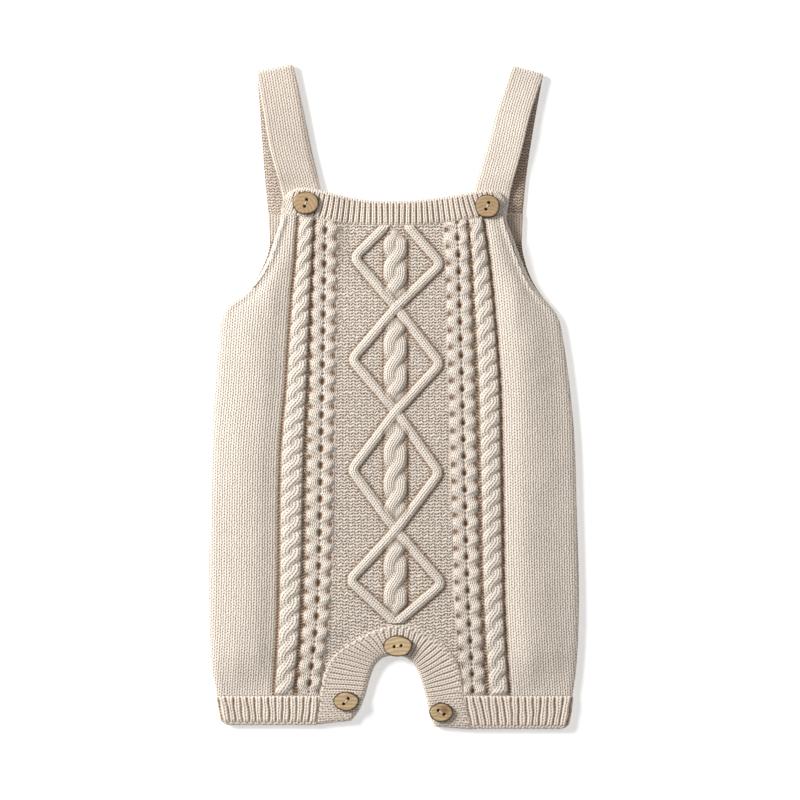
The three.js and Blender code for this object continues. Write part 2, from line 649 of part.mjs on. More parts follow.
const romper = new THREE.Group();
romper.add(
  piece('back_panel', backPanel(), CREAM, 0.9),
  piece('back_neck_band', backNeckBand(), CREAM_SHADE, 0.9),
  piece('back_crotch_band', backCrotchBand(), CREAM_SHADE, 0.9),
  piece('front_panel', frontPanel(), CREAM, 0.9),
  piece('front_neck_band', frontNeckBand(), CREAM_SHADE, 0.9),
  piece('front_crotch_band', frontCrotchBand(), CREAM_SHADE, 0.9),
);
for (const cuff of CUFFS) {
  romper.add(piece(`leg_cuff_${cuff.side}`, legCuff(cuff), CREAM_SHADE, 0.9));
}
for (const band of STRAPS) {
  romper.add(piece(`strap_${band.side}`, strap(band), CREAM, 0.9));
}
for (const slice of BUTTONS) {
  const mesh = piece(slice.name, button(slice), WOOD, 0.55);
  mesh.position.set(slice.x, slice.y, buttonSeat(slice));
  romper.add(mesh);
}

// The origin is under the middle of the whole garment.
const bounds = new THREE.Box3().setFromObject(romper);
const centre = bounds.getCenter(new THREE.Vector3());
romper.position.set(-centre.x, -centre.y, -bounds.min.z);

export default romper;
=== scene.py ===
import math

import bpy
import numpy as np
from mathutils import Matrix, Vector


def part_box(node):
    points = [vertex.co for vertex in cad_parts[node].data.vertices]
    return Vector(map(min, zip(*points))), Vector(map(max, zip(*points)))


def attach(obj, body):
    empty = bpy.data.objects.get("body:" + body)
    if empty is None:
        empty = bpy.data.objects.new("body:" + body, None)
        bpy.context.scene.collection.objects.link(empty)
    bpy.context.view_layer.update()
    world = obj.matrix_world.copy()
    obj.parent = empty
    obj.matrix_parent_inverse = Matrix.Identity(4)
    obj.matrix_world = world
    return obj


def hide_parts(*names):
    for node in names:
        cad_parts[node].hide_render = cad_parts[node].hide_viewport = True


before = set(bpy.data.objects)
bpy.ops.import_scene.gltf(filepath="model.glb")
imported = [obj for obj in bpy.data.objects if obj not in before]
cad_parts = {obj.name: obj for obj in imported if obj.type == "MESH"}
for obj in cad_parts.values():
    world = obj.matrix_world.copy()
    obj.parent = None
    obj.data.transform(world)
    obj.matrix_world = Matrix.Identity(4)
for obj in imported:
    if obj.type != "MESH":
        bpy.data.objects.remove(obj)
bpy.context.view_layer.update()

# %% [markdown]
# # A cable-knit baby romper, laid flat
# The CAD pieces are plain closed walls of cloth. Each one is rebuilt here as a finer wall on the
# same form, with the relief of its knitting: rope cables, bead columns, diamonds and ribs. The
# stitches themselves are too small for a mesh, so a shader draws them along a stitch map.
# Everything is worked out in millimetres and turned into metres when a mesh is made.

MM = 0.001
BACK_BAND_CORNER = (-81.9, 100.0)
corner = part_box("back_neck_band")[0]
SHIFT = np.array([corner.x / MM - BACK_BAND_CORNER[0], corner.y / MM - BACK_BAND_CORNER[1], 0.0])


def mix(a, b, share):
    return a + (b - a) * share


def smooth(value, start, end):
    """0 before start, 1 after end and a soft step between."""
    t = np.clip((value - start) / (end - start), 0, 1)
    return t * t * (3 - 2 * t)


def bump(distance, width):
    """A soft bell, 1 in the middle and gone a little past its width."""
    return np.exp(-((distance / width) ** 2))


def curve(xs, ys):
    """A smooth curve through points: at each one its slope is the mean of the slopes beside it."""
    xs, ys = np.array(xs, float), np.array(ys, float)
    chord = np.diff(ys) / np.diff(xs)
    slope = np.concatenate([[0.0], (chord[1:] + chord[:-1]) / 2, [0.0]])

    def at(x):
        x = np.clip(x, xs[0], xs[-1])
        i = np.clip(np.searchsorted(xs, x, side="right") - 1, 0, len(xs) - 2)
        run = xs[i + 1] - xs[i]
        t = (x - xs[i]) / run
        into = t * t * (3 - 2 * t)
        leave, arrive = t * (1 - t) ** 2, t * t * (t - 1)
        return mix(ys[i], ys[i + 1], into) + run * (leave * slope[i] + arrive * slope[i + 1])

    return at


def evenly(start, end, step):
    """Evenly spaced values from start to end, about a step apart."""
    return np.linspace(start, end, max(2, round(abs(end - start) / step) + 1))


def add(name, data):
    """A new object in the scene."""
    made = bpy.data.objects.new(name, data)
    bpy.context.scene.collection.objects.link(made)
    return made


print("the cloth is shifted by", SHIFT.round(2), "mm onto the frame")

# %% [markdown]
# ## The garment's lines
# A knitted panel is drafted as lines across the body at several levels. The front's lines are its
# two sides, the outer groove of each rope cable, the middle of each pair of bead columns, and the
# two edges of the purl ground. Smooth curves through a table of levels keep the pieces fair and
# let every other shape be placed from them.

# %% Lines of the front and of the arch
CLOTH, GAP, LAYER = 2.4, 0.3, 2.7  # a wall, the air between two, and both
SEAM = -0.06  # the gap at a seam: below zero, so the pieces run into each other a little
BOTTOM, TOP = -195.0, 118.0
FRONT_LINES = np.array([
    # level, side, rope, beads, ground | ground, beads, rope, side
    (-195, -115.6, -78.6, -55.2, -48.3, 45.6, 51.4, 75.6, 116.6),
    (-180, -118.2, -77.6, -53.6, -47.2, 45.0, 50.9, 74.6, 118.5),
    (-148, -120.4, -75.9, -50.2, -42.6, 41.0, 49.0, 72.6, 120.4),
    (-110, -120.1, -75.2, -48.4, -40.2, 39.1, 47.4, 71.6, 120.1),
    (-70, -119.6, -74.9, -47.6, -39.4, 38.1, 46.4, 71.0, 119.0),
    (-30, -118.7, -73.8, -46.9, -38.6, 37.1, 45.3, 70.4, 117.8),
    (5, -117.0, -70.8, -46.2, -38.0, 36.3, 44.5, 69.6, 114.7),
    (36, -114.4, -68.9, -45.6, -37.6, 35.4, 43.5, 67.5, 110.4),
    (51, -112.6, -67.8, -45.3, -37.4, 35.1, 43.0, 66.2, 107.0),
    (58, -109.0, -67.3, -45.2, -37.3, 34.9, 42.8, 65.6, 102.4),
    (66, -98.9, -66.7, -45.1, -37.2, 34.8, 42.6, 64.9, 95.4),
    (76, -89.6, -65.6, -44.9, -37.1, 34.6, 42.4, 63.8, 88.6),
    (88, -82.4, -64.3, -44.7, -36.9, 34.3, 42.1, 62.4, 83.2),
    (102, -77.7, -63.4, -44.3, -36.6, 33.8, 41.5, 60.4, 77.9),
    (118, -73.3, -62.4, -43.8, -36.2, 33.2, 40.9, 58.4, 72.9),
])
LINE_NAMES = ["left", "rope_left", "bead_left", "ground_left",
              "ground_right", "bead_right", "rope_right", "right"]
front = {
    name: curve(FRONT_LINES[:, 0], FRONT_LINES[:, k + 1]) for k, name in enumerate(LINE_NAMES)
}

NECK_LINE = np.array([
    # across, foot of the band, cast-off edge
    (-73.2, 117.7, 122.5), (-72.2, 117.6, 127.0), (-69.7, 117.5, 131.0), (-61.0, 116.8, 135.2),
    (-48.0, 115.2, 133.7), (-34.7, 112.6, 130.4), (-18.0, 111.1, 127.5), (0.0, 110.8, 126.8),
    (18.0, 111.2, 127.7), (33.2, 112.6, 129.6), (46.0, 114.3, 131.4), (61.0, 116.2, 133.9),
    (69.4, 117.1, 131.4), (71.8, 117.2, 127.5), (72.8, 117.3, 122.5),
])
neck_foot = curve(NECK_LINE[:, 0], NECK_LINE[:, 1])
neck_edge = curve(NECK_LINE[:, 0], NECK_LINE[:, 2])

ARCH_LINE = np.array([
    # free edge, then seam
    (-27.8, -211.6, -50.6, -214.0), (-22.6, -204.8, -48.9, -204.0), (-18.6, -195.0, -48.1, -194.2),
    (-15.6, -184.2, -45.2, -180.5), (-12.6, -176.2, -39.0, -168.8), (-8.6, -171.4, -28.0, -160.4),
    (-4.0, -169.3, -14.0, -152.9), (1.8, -168.9, 1.8, -148.6), (7.6, -170.2, 15.0, -150.9),
    (12.2, -173.4, 27.0, -157.3), (15.6, -179.0, 37.0, -165.8), (18.4, -187.5, 43.2, -178.6),
    (21.0, -197.0, 45.6, -194.2), (23.3, -208.0, 48.4, -206.0), (26.8, -215.4, 51.0, -217.2),
])
ARCH_CENTRE = np.array([1.8, -190.0])
ARCH_STEPS = np.arange(len(ARCH_LINE))
arch = [curve(ARCH_STEPS, ARCH_LINE[:, k]) for k in range(4)]
print(len(FRONT_LINES), "levels of the front,", len(ARCH_LINE), "stations round the arch")

# %% [markdown]
# ## How high the front lies
# The front lies on the back at its sides and cuffs, and stands a little off it in the middle.
# The strap ends push up the two corners of the bib. The cables draw the cloth in, so the plain
# sides puff up beside them, and the knitted edge rolls round the armholes. A few soft folds run
# where the cloth eases. They are placed one by one, each with its own length, width and height,
# because repeated folds look like corrugation.

# %% Underside of the front
LOFT, LOFT_START = 2.0, -150.0
STRAP_MIDDLES, STRAP_FLAT, STRAP_REACH = (-59.0, 62.0), 17.0, 38.0
STRAP_START, STRAP_FULL, STRAP_BETWEEN = 76.0, 104.0, 0.3
MAIN_FOLDS = [
    # from, to, width, height
    (-100, 52, -80, 8, 9, 0.9), (-84, 84, -76, 44, 6, 0.7), (96, 50, 80, 2, 9, 0.8),
    (82, 86, 77, 40, 6, 0.8), (-96, -60, -100, -150, 12, -0.5), (98, -40, 96, -160, 11, -0.6),
    (-30, -140, -62, -172, 7, 0.6), (32, -142, 60, -176, 7, 0.6),
]


def fold_height(folds, x, y):
    """Soft ridges along lines, each fading to its ends."""
    total = np.zeros(np.broadcast(x, y).shape)
    for from_x, from_y, to_x, to_y, width, height in folds:
        run = np.array([to_x - from_x, to_y - from_y], float)
        length = np.hypot(*run)
        along = ((x - from_x) * run[0] + (y - from_y) * run[1]) / length**2
        across = ((x - from_x) * run[1] - (y - from_y) * run[0]) / length
        shape = np.sin(np.pi * np.clip(along, 0, 1))
        total = total + height * shape * bump(across, width)
    return total


def looseness(x, y):
    """How much of the loft is left: none at the sides and at the cuffs."""
    middle = (front["left"](y) + front["right"](y)) / 2
    half = (front["right"](y) - front["left"](y)) / 2
    side = np.minimum(1, abs(x - middle) / half)
    return (1 - side**3) * smooth(y, BOTTOM, LOFT_START)


def strap_lift(x, y):
    over = [1 - smooth(abs(x - middle), STRAP_FLAT, STRAP_REACH) for middle in STRAP_MIDDLES]
    most = np.maximum(np.maximum(over[0], over[1]), STRAP_BETWEEN)
    return LAYER * smooth(y, STRAP_START, STRAP_FULL) * most


def front_underside(x, y):
    loose = looseness(x, y)
    folds = fold_height(MAIN_FOLDS, x, y) * np.minimum(1, loose * 3)
    return LAYER + np.maximum(0, LOFT * loose + folds) + strap_lift(x, y)


PUFF, SHOULDER, PUFF_PEAKS = 3.0, 1.7, (0.8, 1.3)
SHOULDER_UP, SHOULDER_DOWN = (1.5, 13), (13, 40)  # distances from the rope
PUFF_FOOT, PUFF_TOP, TOP_LOSS = (BOTTOM, -165), (50, 100), 0.6  # levels where it fades
ROLL, VALLEY, ARMHOLE = (0.9, 2.4, 1.5), (0.5, 5.6, 1.8), (44, 62)  # height, place, width


def puff(x, y):
    """The plain sides stand up between the outer edge and the rope, as the cables draw in."""
    left = np.clip((x - front["left"](y)) / (front["rope_left"](y) - front["left"](y)), 0, 1)
    right = np.clip((front["right"](y) - x) / (front["right"](y) - front["rope_right"](y)), 0, 1)
    share = np.clip(np.where(x < 0, left**PUFF_PEAKS[0], right**PUFF_PEAKS[1]), 0, 1)
    from_rope = np.where(x < 0, front["rope_left"](y) - x, x - front["rope_right"](y))
    shoulder = SHOULDER * smooth(from_rope, *SHOULDER_UP) * (1 - smooth(from_rope, *SHOULDER_DOWN))
    fade = smooth(y, *PUFF_FOOT) * (1 - TOP_LOSS * smooth(y, *PUFF_TOP))
    return (PUFF * np.sin(np.pi * share) + shoulder) * fade


def armhole_roll(x, y):
    """The knitted edge rolls a little round the armhole, with a shallow valley behind it."""
    to_edge = []
    for name in ("left", "right"):
        slope = (front[name](y + 1) - front[name](y - 1)) / 2
        to_edge.append(abs(x - front[name](y)) / np.sqrt(1 + slope**2))
    roll, valley = (
        high * bump(np.minimum(*to_edge) - place, width) for high, place, width in (ROLL, VALLEY)
    )
    return (roll - valley) * smooth(y, *ARMHOLE)


RIM_AT, RIM_THICK = (0.0, 0.4, 1.2, 3.5), (0.9, 1.35, 1.8, CLOTH)


def rim(distance):
    """Thickness of the wall at a distance from its free edge."""
    return np.interp(distance, RIM_AT, RIM_THICK)


print("the front is", round(float(front_underside(0.0, 0.0)), 2), "mm up in the middle")

# %% [markdown]
# ## A wall of cloth
# Every cloth piece is one closed mesh: a fine grid on the side that shows, a coarse one on the side
# that doesn't, and a narrow edge between them. Fine squares everywhere would double the triangles
# for nothing. Along the border the coarse side uses all the fine points, so nothing gapes. The
# grids run so that every face looks outward: a wall wound the other way round is inside out.
# Beside the mesh go a stitch map, measured in stitches and rows, and two soft masks: one of painted
# shade, which darkens the colour where the knitting sinks and, on the front, lightens it a little
# on the crests as painted highlight, and "purl" where the bumps of the reverse side show.


# %% Building a wall
def kept(count, step):
    """Every step-th number up to count, and always the last."""
    return list(range(0, count - 1, step)) + [count - 1]


def steps(start, end, dense):
    """The way from start to just before end: all of it, or only its first point."""
    return list(range(start, end, 1 if end > start else -1)) if dense else [start]


def wall(name, outer, inner, stitches, painted_shading, purl=0.0, region=0, coarse=4, below=None):
    """One closed wall. outer and inner are grids of points. stitches holds one map for each
    region of the knitting, and region picks one for each square. below holds the painted shade
    and purl of the inner side, where they differ."""
    rows, columns = outer.shape[:2]
    size = rows * columns
    number = np.arange(size).reshape(rows, columns)
    quads = np.stack(
        [number[:-1, :-1], number[:-1, 1:], number[1:, 1:], number[1:, :-1]], -1
    ).reshape(-1, 4)

    keep_rows, keep_columns = kept(rows, coarse), kept(columns, coarse)
    used = np.zeros((rows, columns), bool)
    used[np.ix_(keep_rows, keep_columns)] = True
    used[[0, -1]] = True
    used[:, [0, -1]] = True
    low = np.full((rows, columns), -1)
    low[used] = size + np.arange(used.sum())
    polygons = [tuple(q) for q in quads.tolist()]
    for i0, i1 in zip(keep_rows, keep_rows[1:]):
        for j0, j1 in zip(keep_columns, keep_columns[1:]):
            path = [(i0, j) for j in steps(j0, j1, i0 == 0)]
            path += [(i, j1) for i in steps(i0, i1, j1 == columns - 1)]
            path += [(i1, j) for j in steps(j1, j0, i1 == rows - 1)]
            path += [(i, j0) for i in steps(i1, i0, j0 == 0)]
            polygons.append(tuple(int(low[p]) for p in reversed(path)))
    ring = [(0, j) for j in range(columns - 1)] + [(i, columns - 1) for i in range(rows - 1)]
    ring += [(rows - 1, j) for j in range(columns - 1, 0, -1)]
    ring += [(i, 0) for i in range(rows - 1, 0, -1)]
    for p, q in zip(ring, ring[1:] + ring[:1]):
        polygons.append((int(low[p]), int(low[q]), int(number[q]), int(number[p])))

    points = np.concatenate([outer.reshape(-1, 3), inner[used]])
    source = np.concatenate([np.arange(size), number[used]])
    mesh = bpy.data.meshes.new(name)
    mesh.from_pydata((points + SHIFT) * MM, [], polygons)
    corners = np.empty(len(mesh.loops), int)
    mesh.loops.foreach_get("vertex_index", corners)
    pick = np.zeros(len(corners), int)
    pick[: quads.size] = np.repeat(np.broadcast_to(region, (rows - 1, columns - 1)).ravel(), 4)
    place = source[corners]
    spots = [np.stack([side.ravel() for side in sides])[pick, place] for sides in zip(*stitches)]
    mesh.uv_layers.new(name="Knit").data.foreach_set("uv", np.stack(spots, -1).ravel())
    # Writes the mask of painted shade and painted highlight, and the purl mask, on both sides.
    for title, above, under in zip(("painted_shading", "purl"), (painted_shading, purl), below or (painted_shading, purl)):
        above, under = (np.broadcast_to(values, (rows, columns)) for values in (above, under))
        spread = np.concatenate([above.ravel(), under[used]])
        mesh.attributes.new(title, "FLOAT", "POINT").data.foreach_set("value", spread)
    flat_from = len(polygons) - len(ring)  # the narrow edge is shaded flat
    mesh.polygons.foreach_set("use_smooth", np.arange(len(polygons)) < flat_from)
    print(name, "has", sum(len(p.vertices) - 2 for p in mesh.polygons), "triangles")
    return add(name, mesh)


def flat_wall(name, x, y, over, under, *rest, **more):
    """A wall with one side straight above the other."""
    return wall(name, np.dstack([x, y, over]), np.dstack([x, y, under]), *rest, **more)


def centres(grid):
    """The middle of each square of a grid of values."""
    return (grid[:-1, :-1] + grid[1:, :-1] + grid[:-1, 1:] + grid[1:, 1:]) / 4


# %% [markdown]
# ## Stitches as a shader
# A wale of stocking stitch is a column of V shapes, and a small dark hole shows at the point of
# each V and between the tops of two; the material paints that darkness into the colour as painted
# shade. Bump maps from pictures would repeat and blur. A formula on the stitch map stays sharp at
# any size and follows every cable. The same group draws purl as rows of short broken arcs, and the
# mask says which of the two is wanted.


# %% Node helpers
class Net:
    """Short ways to add nodes to one tree."""

    def __init__(self, tree):
        self.tree = tree

    def node(self, kind, **settings):
        made = self.tree.nodes.new(kind)
        for key, value in settings.items():
            setattr(made, key, value)
        return made

    def plug(self, socket, value):
        if isinstance(value, bpy.types.NodeSocket):
            self.tree.links.new(value, socket)
        else:
            socket.default_value = value

    def fill(self, sockets, values):
        for socket, value in zip(sockets, values):
            self.plug(socket, value)

    def math(self, operation, *values):
        made = self.node("ShaderNodeMath", operation=operation)
        self.fill(made.inputs, values)
        return made.outputs[0]

    def scaled(self, value, factor, plus):
        return self.math("MULTIPLY_ADD", value, factor, plus)

    def vector(self, operation, a, b):
        made = self.node("ShaderNodeVectorMath", operation=operation)
        self.fill((made.inputs[0], made.inputs["Scale" if operation == "SCALE" else 1]), (a, b))
        return made.outputs[0]

    def blend(self, share, a, b):
        """A number part of the way from a to b."""
        made = self.node("ShaderNodeMix", data_type="FLOAT")
        self.fill([made.inputs[k] for k in (0, 2, 3)], (share, a, b))
        return made.outputs[0]

    def tint(self, share, a, b, how="MIX"):
        """A colour part of the way from a to b."""
        made = self.node("ShaderNodeMix", data_type="RGBA", blend_type=how)
        self.fill([made.inputs[k] for k in (0, 6, 7)], (share, a, b))
        return made.outputs[2]

    def noise(self, vector, scale, detail=2.0, output="Fac"):
        made = self.node("ShaderNodeTexNoise")
        self.fill([made.inputs[k] for k in ("Vector", "Scale", "Detail")], (vector, scale, detail))
        return made.outputs[output]

    def mask(self, title):
        return self.node("ShaderNodeAttribute", attribute_name=title).outputs["Fac"]

    def here(self):
        return self.node("ShaderNodeTexCoord").outputs["Object"]

    def relief(self, height, distance):
        """A bumped normal, with its distance in millimetres."""
        made = self.node("ShaderNodeBump")
        self.fill((made.inputs["Distance"], made.inputs["Height"]), (distance * MM, height))
        return made.outputs[0]

    def place(self, group, **values):
        made = self.node("ShaderNodeGroup")
        made.node_tree = group
        for key, value in values.items():
            self.plug(made.inputs[key], value)
        return made.outputs


def new_group(name, inputs, outputs):
    tree = bpy.data.node_groups.new(name, "ShaderNodeTree")
    for way, sockets in (("INPUT", inputs), ("OUTPUT", outputs)):
        for title, kind in sockets:
            tree.interface.new_socket(title, in_out=way, socket_type=kind)
    net = Net(tree)
    return tree, net, net.node("NodeGroupInput").outputs, net.node("NodeGroupOutput").inputs


def new_material(name):
    """A material, the net of its nodes and its surface."""
    material = bpy.data.materials.new(name)
    material.use_nodes = True
    return material, Net(material.node_tree), material.node_tree.nodes["Principled BSDF"]


def set_surface(surface, values):
    for title, value in values.items():
        surface.inputs[title].default_value = value


NUMBER, VECTOR = "NodeSocketFloat", "NodeSocketVector"

# %% Knitted stitches
TURN = 2 * math.pi
stitches_group, net, given, result = new_group(
    "Knitted stitches",
    [("Map", VECTOR), ("Purl", NUMBER)],
    [("Height", NUMBER), ("Gap", NUMBER)],
)
split = net.node("ShaderNodeSeparateXYZ")
net.plug(split.inputs[0], given["Map"])
wale, course = split.outputs[0], split.outputs[1]


def valley(phase, sharpness):
    """1 where the phase is whole, falling to 0 halfway."""
    wave = net.math("COSINE", net.math("MULTIPLY", phase, TURN))
    return net.math("POWER", net.scaled(wave, 0.5, 0.5), sharpness)


from_middle = net.math("ABSOLUTE", net.math("SUBTRACT", net.math("FRACT", wale), 0.5))
leg = valley(net.scaled(from_middle, -1.0, course), 2.0)
line = net.math("POWER", net.math("COSINE", net.math("MULTIPLY", from_middle, TURN)), 4.0)
knit_gap = net.math("MULTIPLY", line, net.scaled(leg, 0.62, 0.38))
knit_gap = net.math("ADD", knit_gap, net.math("MULTIPLY", leg, 0.16))
arcs = valley(net.scaled(from_middle, 1.15, course), 1.6)
halfway = net.math("COSINE", net.math("MULTIPLY", from_middle, 2 * TURN))
purl_gap = net.math("MULTIPLY", arcs, net.scaled(halfway, -0.4, 1.0))
gap = net.blend(given["Purl"], knit_gap, purl_gap)
net.plug(result["Gap"], gap)
net.plug(result["Height"], net.math("SUBTRACT", 1.0, gap))
print("group:", stitches_group.name)

# %% Cotton yarn
YARN_NOISES = {"Fibre": (2600.0, 3.0, "Fac"), "Mottle": (55.0, 3.0, "Fac"),
               "Drift": (420.0, 2.0, "Color")}
yarn_group, net, given, result = new_group(
    "Cotton yarn", [("Place", VECTOR)], [("Fibre", NUMBER), ("Mottle", NUMBER), ("Drift", VECTOR)]
)
for title, look in YARN_NOISES.items():
    net.plug(result[title], net.noise(given["Place"], *look))
print("group:", yarn_group.name)

# %% Knitted cotton
# The pale yarn, and the brown that painted shade mixes it towards; purl gaps get more painted
# shade.
YARN, YARN_PAINTED_SHADE = (0.835, 0.755, 0.672, 1), (0.235, 0.13, 0.062, 1)
PURL_DARKER = 0.22
COTTON = {"Sheen Weight": 0.2, "Sheen Roughness": 0.5, "Specular IOR Level": 0.25}
LOOKS = {
    # strength of the painted shade in the gaps, relief of a stitch in mm, how far the stitches
    # wander
    "front": (0.43, 0.8, 0.42), "back": (0.50, 0.7, 0.35),
    "rib": (0.34, 0.6, 0.35), "strap": (0.34, 0.6, 0.42),
}


def knitted(name, gap_strength, stitch_relief, wander):
    """Undyed cotton: pale yarn, mixed towards brown as painted shade in the stitch gaps and
    hollows.
    """
    material, net, surface = new_material(name)
    purl = net.mask("purl")
    fluff = net.place(yarn_group, Place=net.here())
    drift = net.vector("SUBTRACT", fluff["Drift"], (0.5, 0.5, 0.5))
    drift = net.vector("SCALE", drift, net.scaled(purl, wander, wander))
    stitch_map = net.node("ShaderNodeUVMap", uv_map="Knit").outputs[0]
    stitch = net.place(stitches_group, Map=net.vector("ADD", stitch_map, drift), Purl=purl)
    # Painted shade: the stitch gaps, more of it in purl, and the mask of painted shade darken the
    # colour.
    darkness = net.scaled(purl, PURL_DARKER, gap_strength)
    sunk = net.math("MAXIMUM", 0.0, net.scaled(stitch["Gap"], darkness, net.mask("painted_shading")))
    colour = net.tint(net.math("MINIMUM", 1.0, sunk), YARN, YARN_PAINTED_SHADE)
    fibre_tone = net.scaled(fluff["Fibre"], 0.30, 0.86)
    tone = net.math("MULTIPLY", fibre_tone, net.scaled(fluff["Mottle"], 0.16, 0.92))
    grey = net.node("ShaderNodeCombineColor")
    net.fill(grey.inputs, [tone] * 3)
    net.plug(surface.inputs["Base Color"], net.tint(1.0, colour, grey.outputs[0], "MULTIPLY"))
    net.plug(surface.inputs["Roughness"], net.scaled(fluff["Mottle"], 0.2, 0.74))
    raised = net.scaled(fluff["Fibre"], 0.35, stitch["Height"])
    net.plug(surface.inputs["Normal"], net.relief(raised, stitch_relief))
    set_surface(surface, COTTON)
    return material


cotton = {part: knitted(f"cotton_{part}", *look) for part, look in LOOKS.items()}
print(len(cotton), "cotton materials share", stitches_group.name, "and", yarn_group.name)

# %% [markdown]
# ## Camera, light and table
# The romper is seen from straight above with a long lens, so it has hardly any perspective. One
# small strong light stands low at the upper left. It grades the cloth from light to shaded across
# the body and gives every cable a shaded side, and the pale table and the sky fill the rest.

# %% Camera, lights and floor
scene = bpy.context.scene
scene.view_settings.view_transform = "Standard"
LENS, SENSOR, VIEW_WIDTH = 85.0, 36.0, 520.0
camera = add("camera", bpy.data.cameras.new("camera"))
camera.data.lens, camera.data.sensor_width = LENS, SENSOR
camera.location = (4.1 * MM, -2.1 * MM, (VIEW_WIDTH * LENS / SENSOR + 6) * MM)
scene.camera = camera

LIGHTS = [
    # place in metres, size, power, colour
    ((-1.25, 0.65, 0.92), 0.55, 38.5, (1.0, 0.985, 0.965)),
    ((0.5, 0.6, 1.6), 1.2, 3.0, (1.0, 0.99, 0.98)),
]
for number, (spot, size, power, colour) in enumerate(LIGHTS):
    lamp = bpy.data.lights.new(f"light_{number}", "AREA")
    lamp.size, lamp.energy, lamp.color = size, power, colour
    holder = add(lamp.name, lamp)
    holder.location = spot
    aim = -holder.location.normalized()
    holder.rotation_euler = aim.to_track_quat("-Z", "Y").to_euler()

SKY, SKY_STRENGTH = (1.0, 0.975, 0.945, 1), 0.33
world = bpy.data.worlds.new("pale room")
world.use_nodes = True
Net(world.node_tree).fill(world.node_tree.nodes["Background"].inputs, (SKY, SKY_STRENGTH))
scene.world = world

HALF, DROP = 3.0, -0.0004  # the table in metres, a hair below the cloth
TABLE = {"Base Color": (0.93, 0.93, 0.93, 1), "Roughness": 0.9,
         "Emission Color": (1, 1, 1, 1), "Emission Strength": 0.34}
floor_mesh = bpy.data.meshes.new("floor")
table_corners = [(-HALF, -HALF, DROP), (HALF, -HALF, DROP), (HALF, HALF, DROP), (-HALF, HALF, DROP)]
floor_mesh.from_pydata(table_corners, [], [(0, 1, 2, 3)])
floor = add("floor", floor_mesh)
pale, net, surface = new_material("pale table")
set_surface(surface, TABLE)
floor_mesh.materials.append(pale)
print("camera", round(camera.location.z, 3), "m above the table,", len(LIGHTS), "lights")

# %% [markdown]
# ## Cables, beads and diamonds
# A cable is two strands of stitches that keep crossing over each other. Modelling each strand as a
# tube would make thousands of overlaps. On a flat panel it is simpler to give each point a height:
# how far across its strand it lies, from a formula that leans and repeats like the real crossing.
# The same formula says where the stitches run, so they turn with the strand.

# %% Rope cable
WALE, COURSE = 3.3, 1.9
STRETCH = 1.25  # a strand is longer than the cable, because it winds
DOME = 2.6, 0.55  # how square a strand's section is, and how full
RISE, SINK = 0.12, -0.6  # of the upper and the lower strand where they cross
ROPE_FORM = {"span": 0.98, "wales": 2, "fill": 1.34}


def cable(across, along, half, pitch, span, wales, fill):
    """Two strands that change sides once a pitch; the one that climbs to the right passes over.
    Gives both heights and both stitch maps."""
    phase = along / pitch
    crossing = np.round(phase)
    share = np.clip((phase - crossing) / span, -0.5, 0.5)
    parity = np.where(crossing % 2 == 0, 1.0, -1.0)
    near = np.cos(np.pi * share) * (abs(share) < 0.5)
    reach, radius = half / 2, half / 2 * fill
    made = []
    for way in (parity, -parity):
        middle = reach * np.sin(np.pi * share) * way
        slope = reach * np.pi / span / pitch * near * way
        lean = np.sqrt(1 + slope**2)
        off = (across - middle) / lean
        dome = np.clip(1 - abs(off / radius) ** DOME[0], 0, 1) ** DOME[1]
        lift = 1 + near * np.where(way > 0, RISE, SINK)
        run = along * STRETCH + off * slope / lean
        made.append((dome * lift, off / radius * wales / 2, run / COURSE))
    return made


def strands_top(made):
    """Height of the upper strand, and the painted shade between and beside the two."""
    height = np.maximum(made[0][0], made[1][0])
    return height, 0.42 * (1 - smooth(height, 0.1, 0.6))


ROPE_SHARES = (0.07, 0.55)  # edges of the rope between its outer groove and the bead line
GROOVE_SHARE = 0.61
ROPE_USUAL = 10.6
ROPE_PITCH = curve([-195, -150, -120, 118], [13.2, 12.2, 10.8, 10.9])
levels = np.linspace(BOTTOM, TOP, 400)
turns = np.concatenate([[0], np.cumsum(np.diff(levels) / ROPE_PITCH(levels[1:]))])


def rope_length(y):
    """Height measured in turns of the rope, times its usual pitch."""
    return np.interp(y, levels, turns) * ROPE_USUAL


ROPE_START = rope_length(100.2), rope_length(97.0)  # a crossing on the left, one on the right


# %% Diamonds
DIAMOND_MIDDLE = 1.5
STRAND_A = [(110, 9.3), (85.8, 30.7), (57.5, 1.5), (23.7, -27.4), (-10.1, 1.5), (-50, 29.7),
            (-87.2, 1.5), (-119.7, -28.7), (-147.6, 1.5)]
STRAND_B = [(110, -5.7), (89.7, -25.8), (57.5, 1.5), (21, 30.3), (-10.1, 1.5), (-48, -27.4),
            (-87.2, 1.5), (-121.7, 31.6), (-147.6, 1.5)]
CROSSINGS = ((57.5, "a"), (-10.1, "b"), (-87.2, "a"))  # level, and which strand is on top
STRAND_HALF, STRAND_WALE, STRAND_FOOT, STRAND_TOP = 3.2, 3.1, -147.6, 112
DIP, DIP_REACH = 0.6, 4.5  # how far a strand sinks where it passes under
STEP, CORNER, CORNER_CELLS = 0.5, 3.2, 14  # how softly a corner turns


def strand_line(corners):
    """A zigzag with its corners softened: places, slopes and lengths by level."""
    at = np.arange(-160.0, 121.0, STEP)
    ys, xs = np.array(corners, float)[::-1].T
    line = np.pad(np.interp(at, ys, xs), CORNER_CELLS, mode="edge")
    window = np.exp(-((np.arange(-CORNER_CELLS, CORNER_CELLS + 1) * STEP / CORNER) ** 2))
    soft = np.convolve(line, window / window.sum(), mode="valid")
    length = np.concatenate([[0], np.cumsum(np.hypot(np.diff(soft), STEP))])
    slope = np.gradient(soft, at)
    return lambda y: tuple(np.interp(y, at, values) for values in (soft, slope, length))


strands = {"a": strand_line(STRAND_A), "b": strand_line(STRAND_B)}


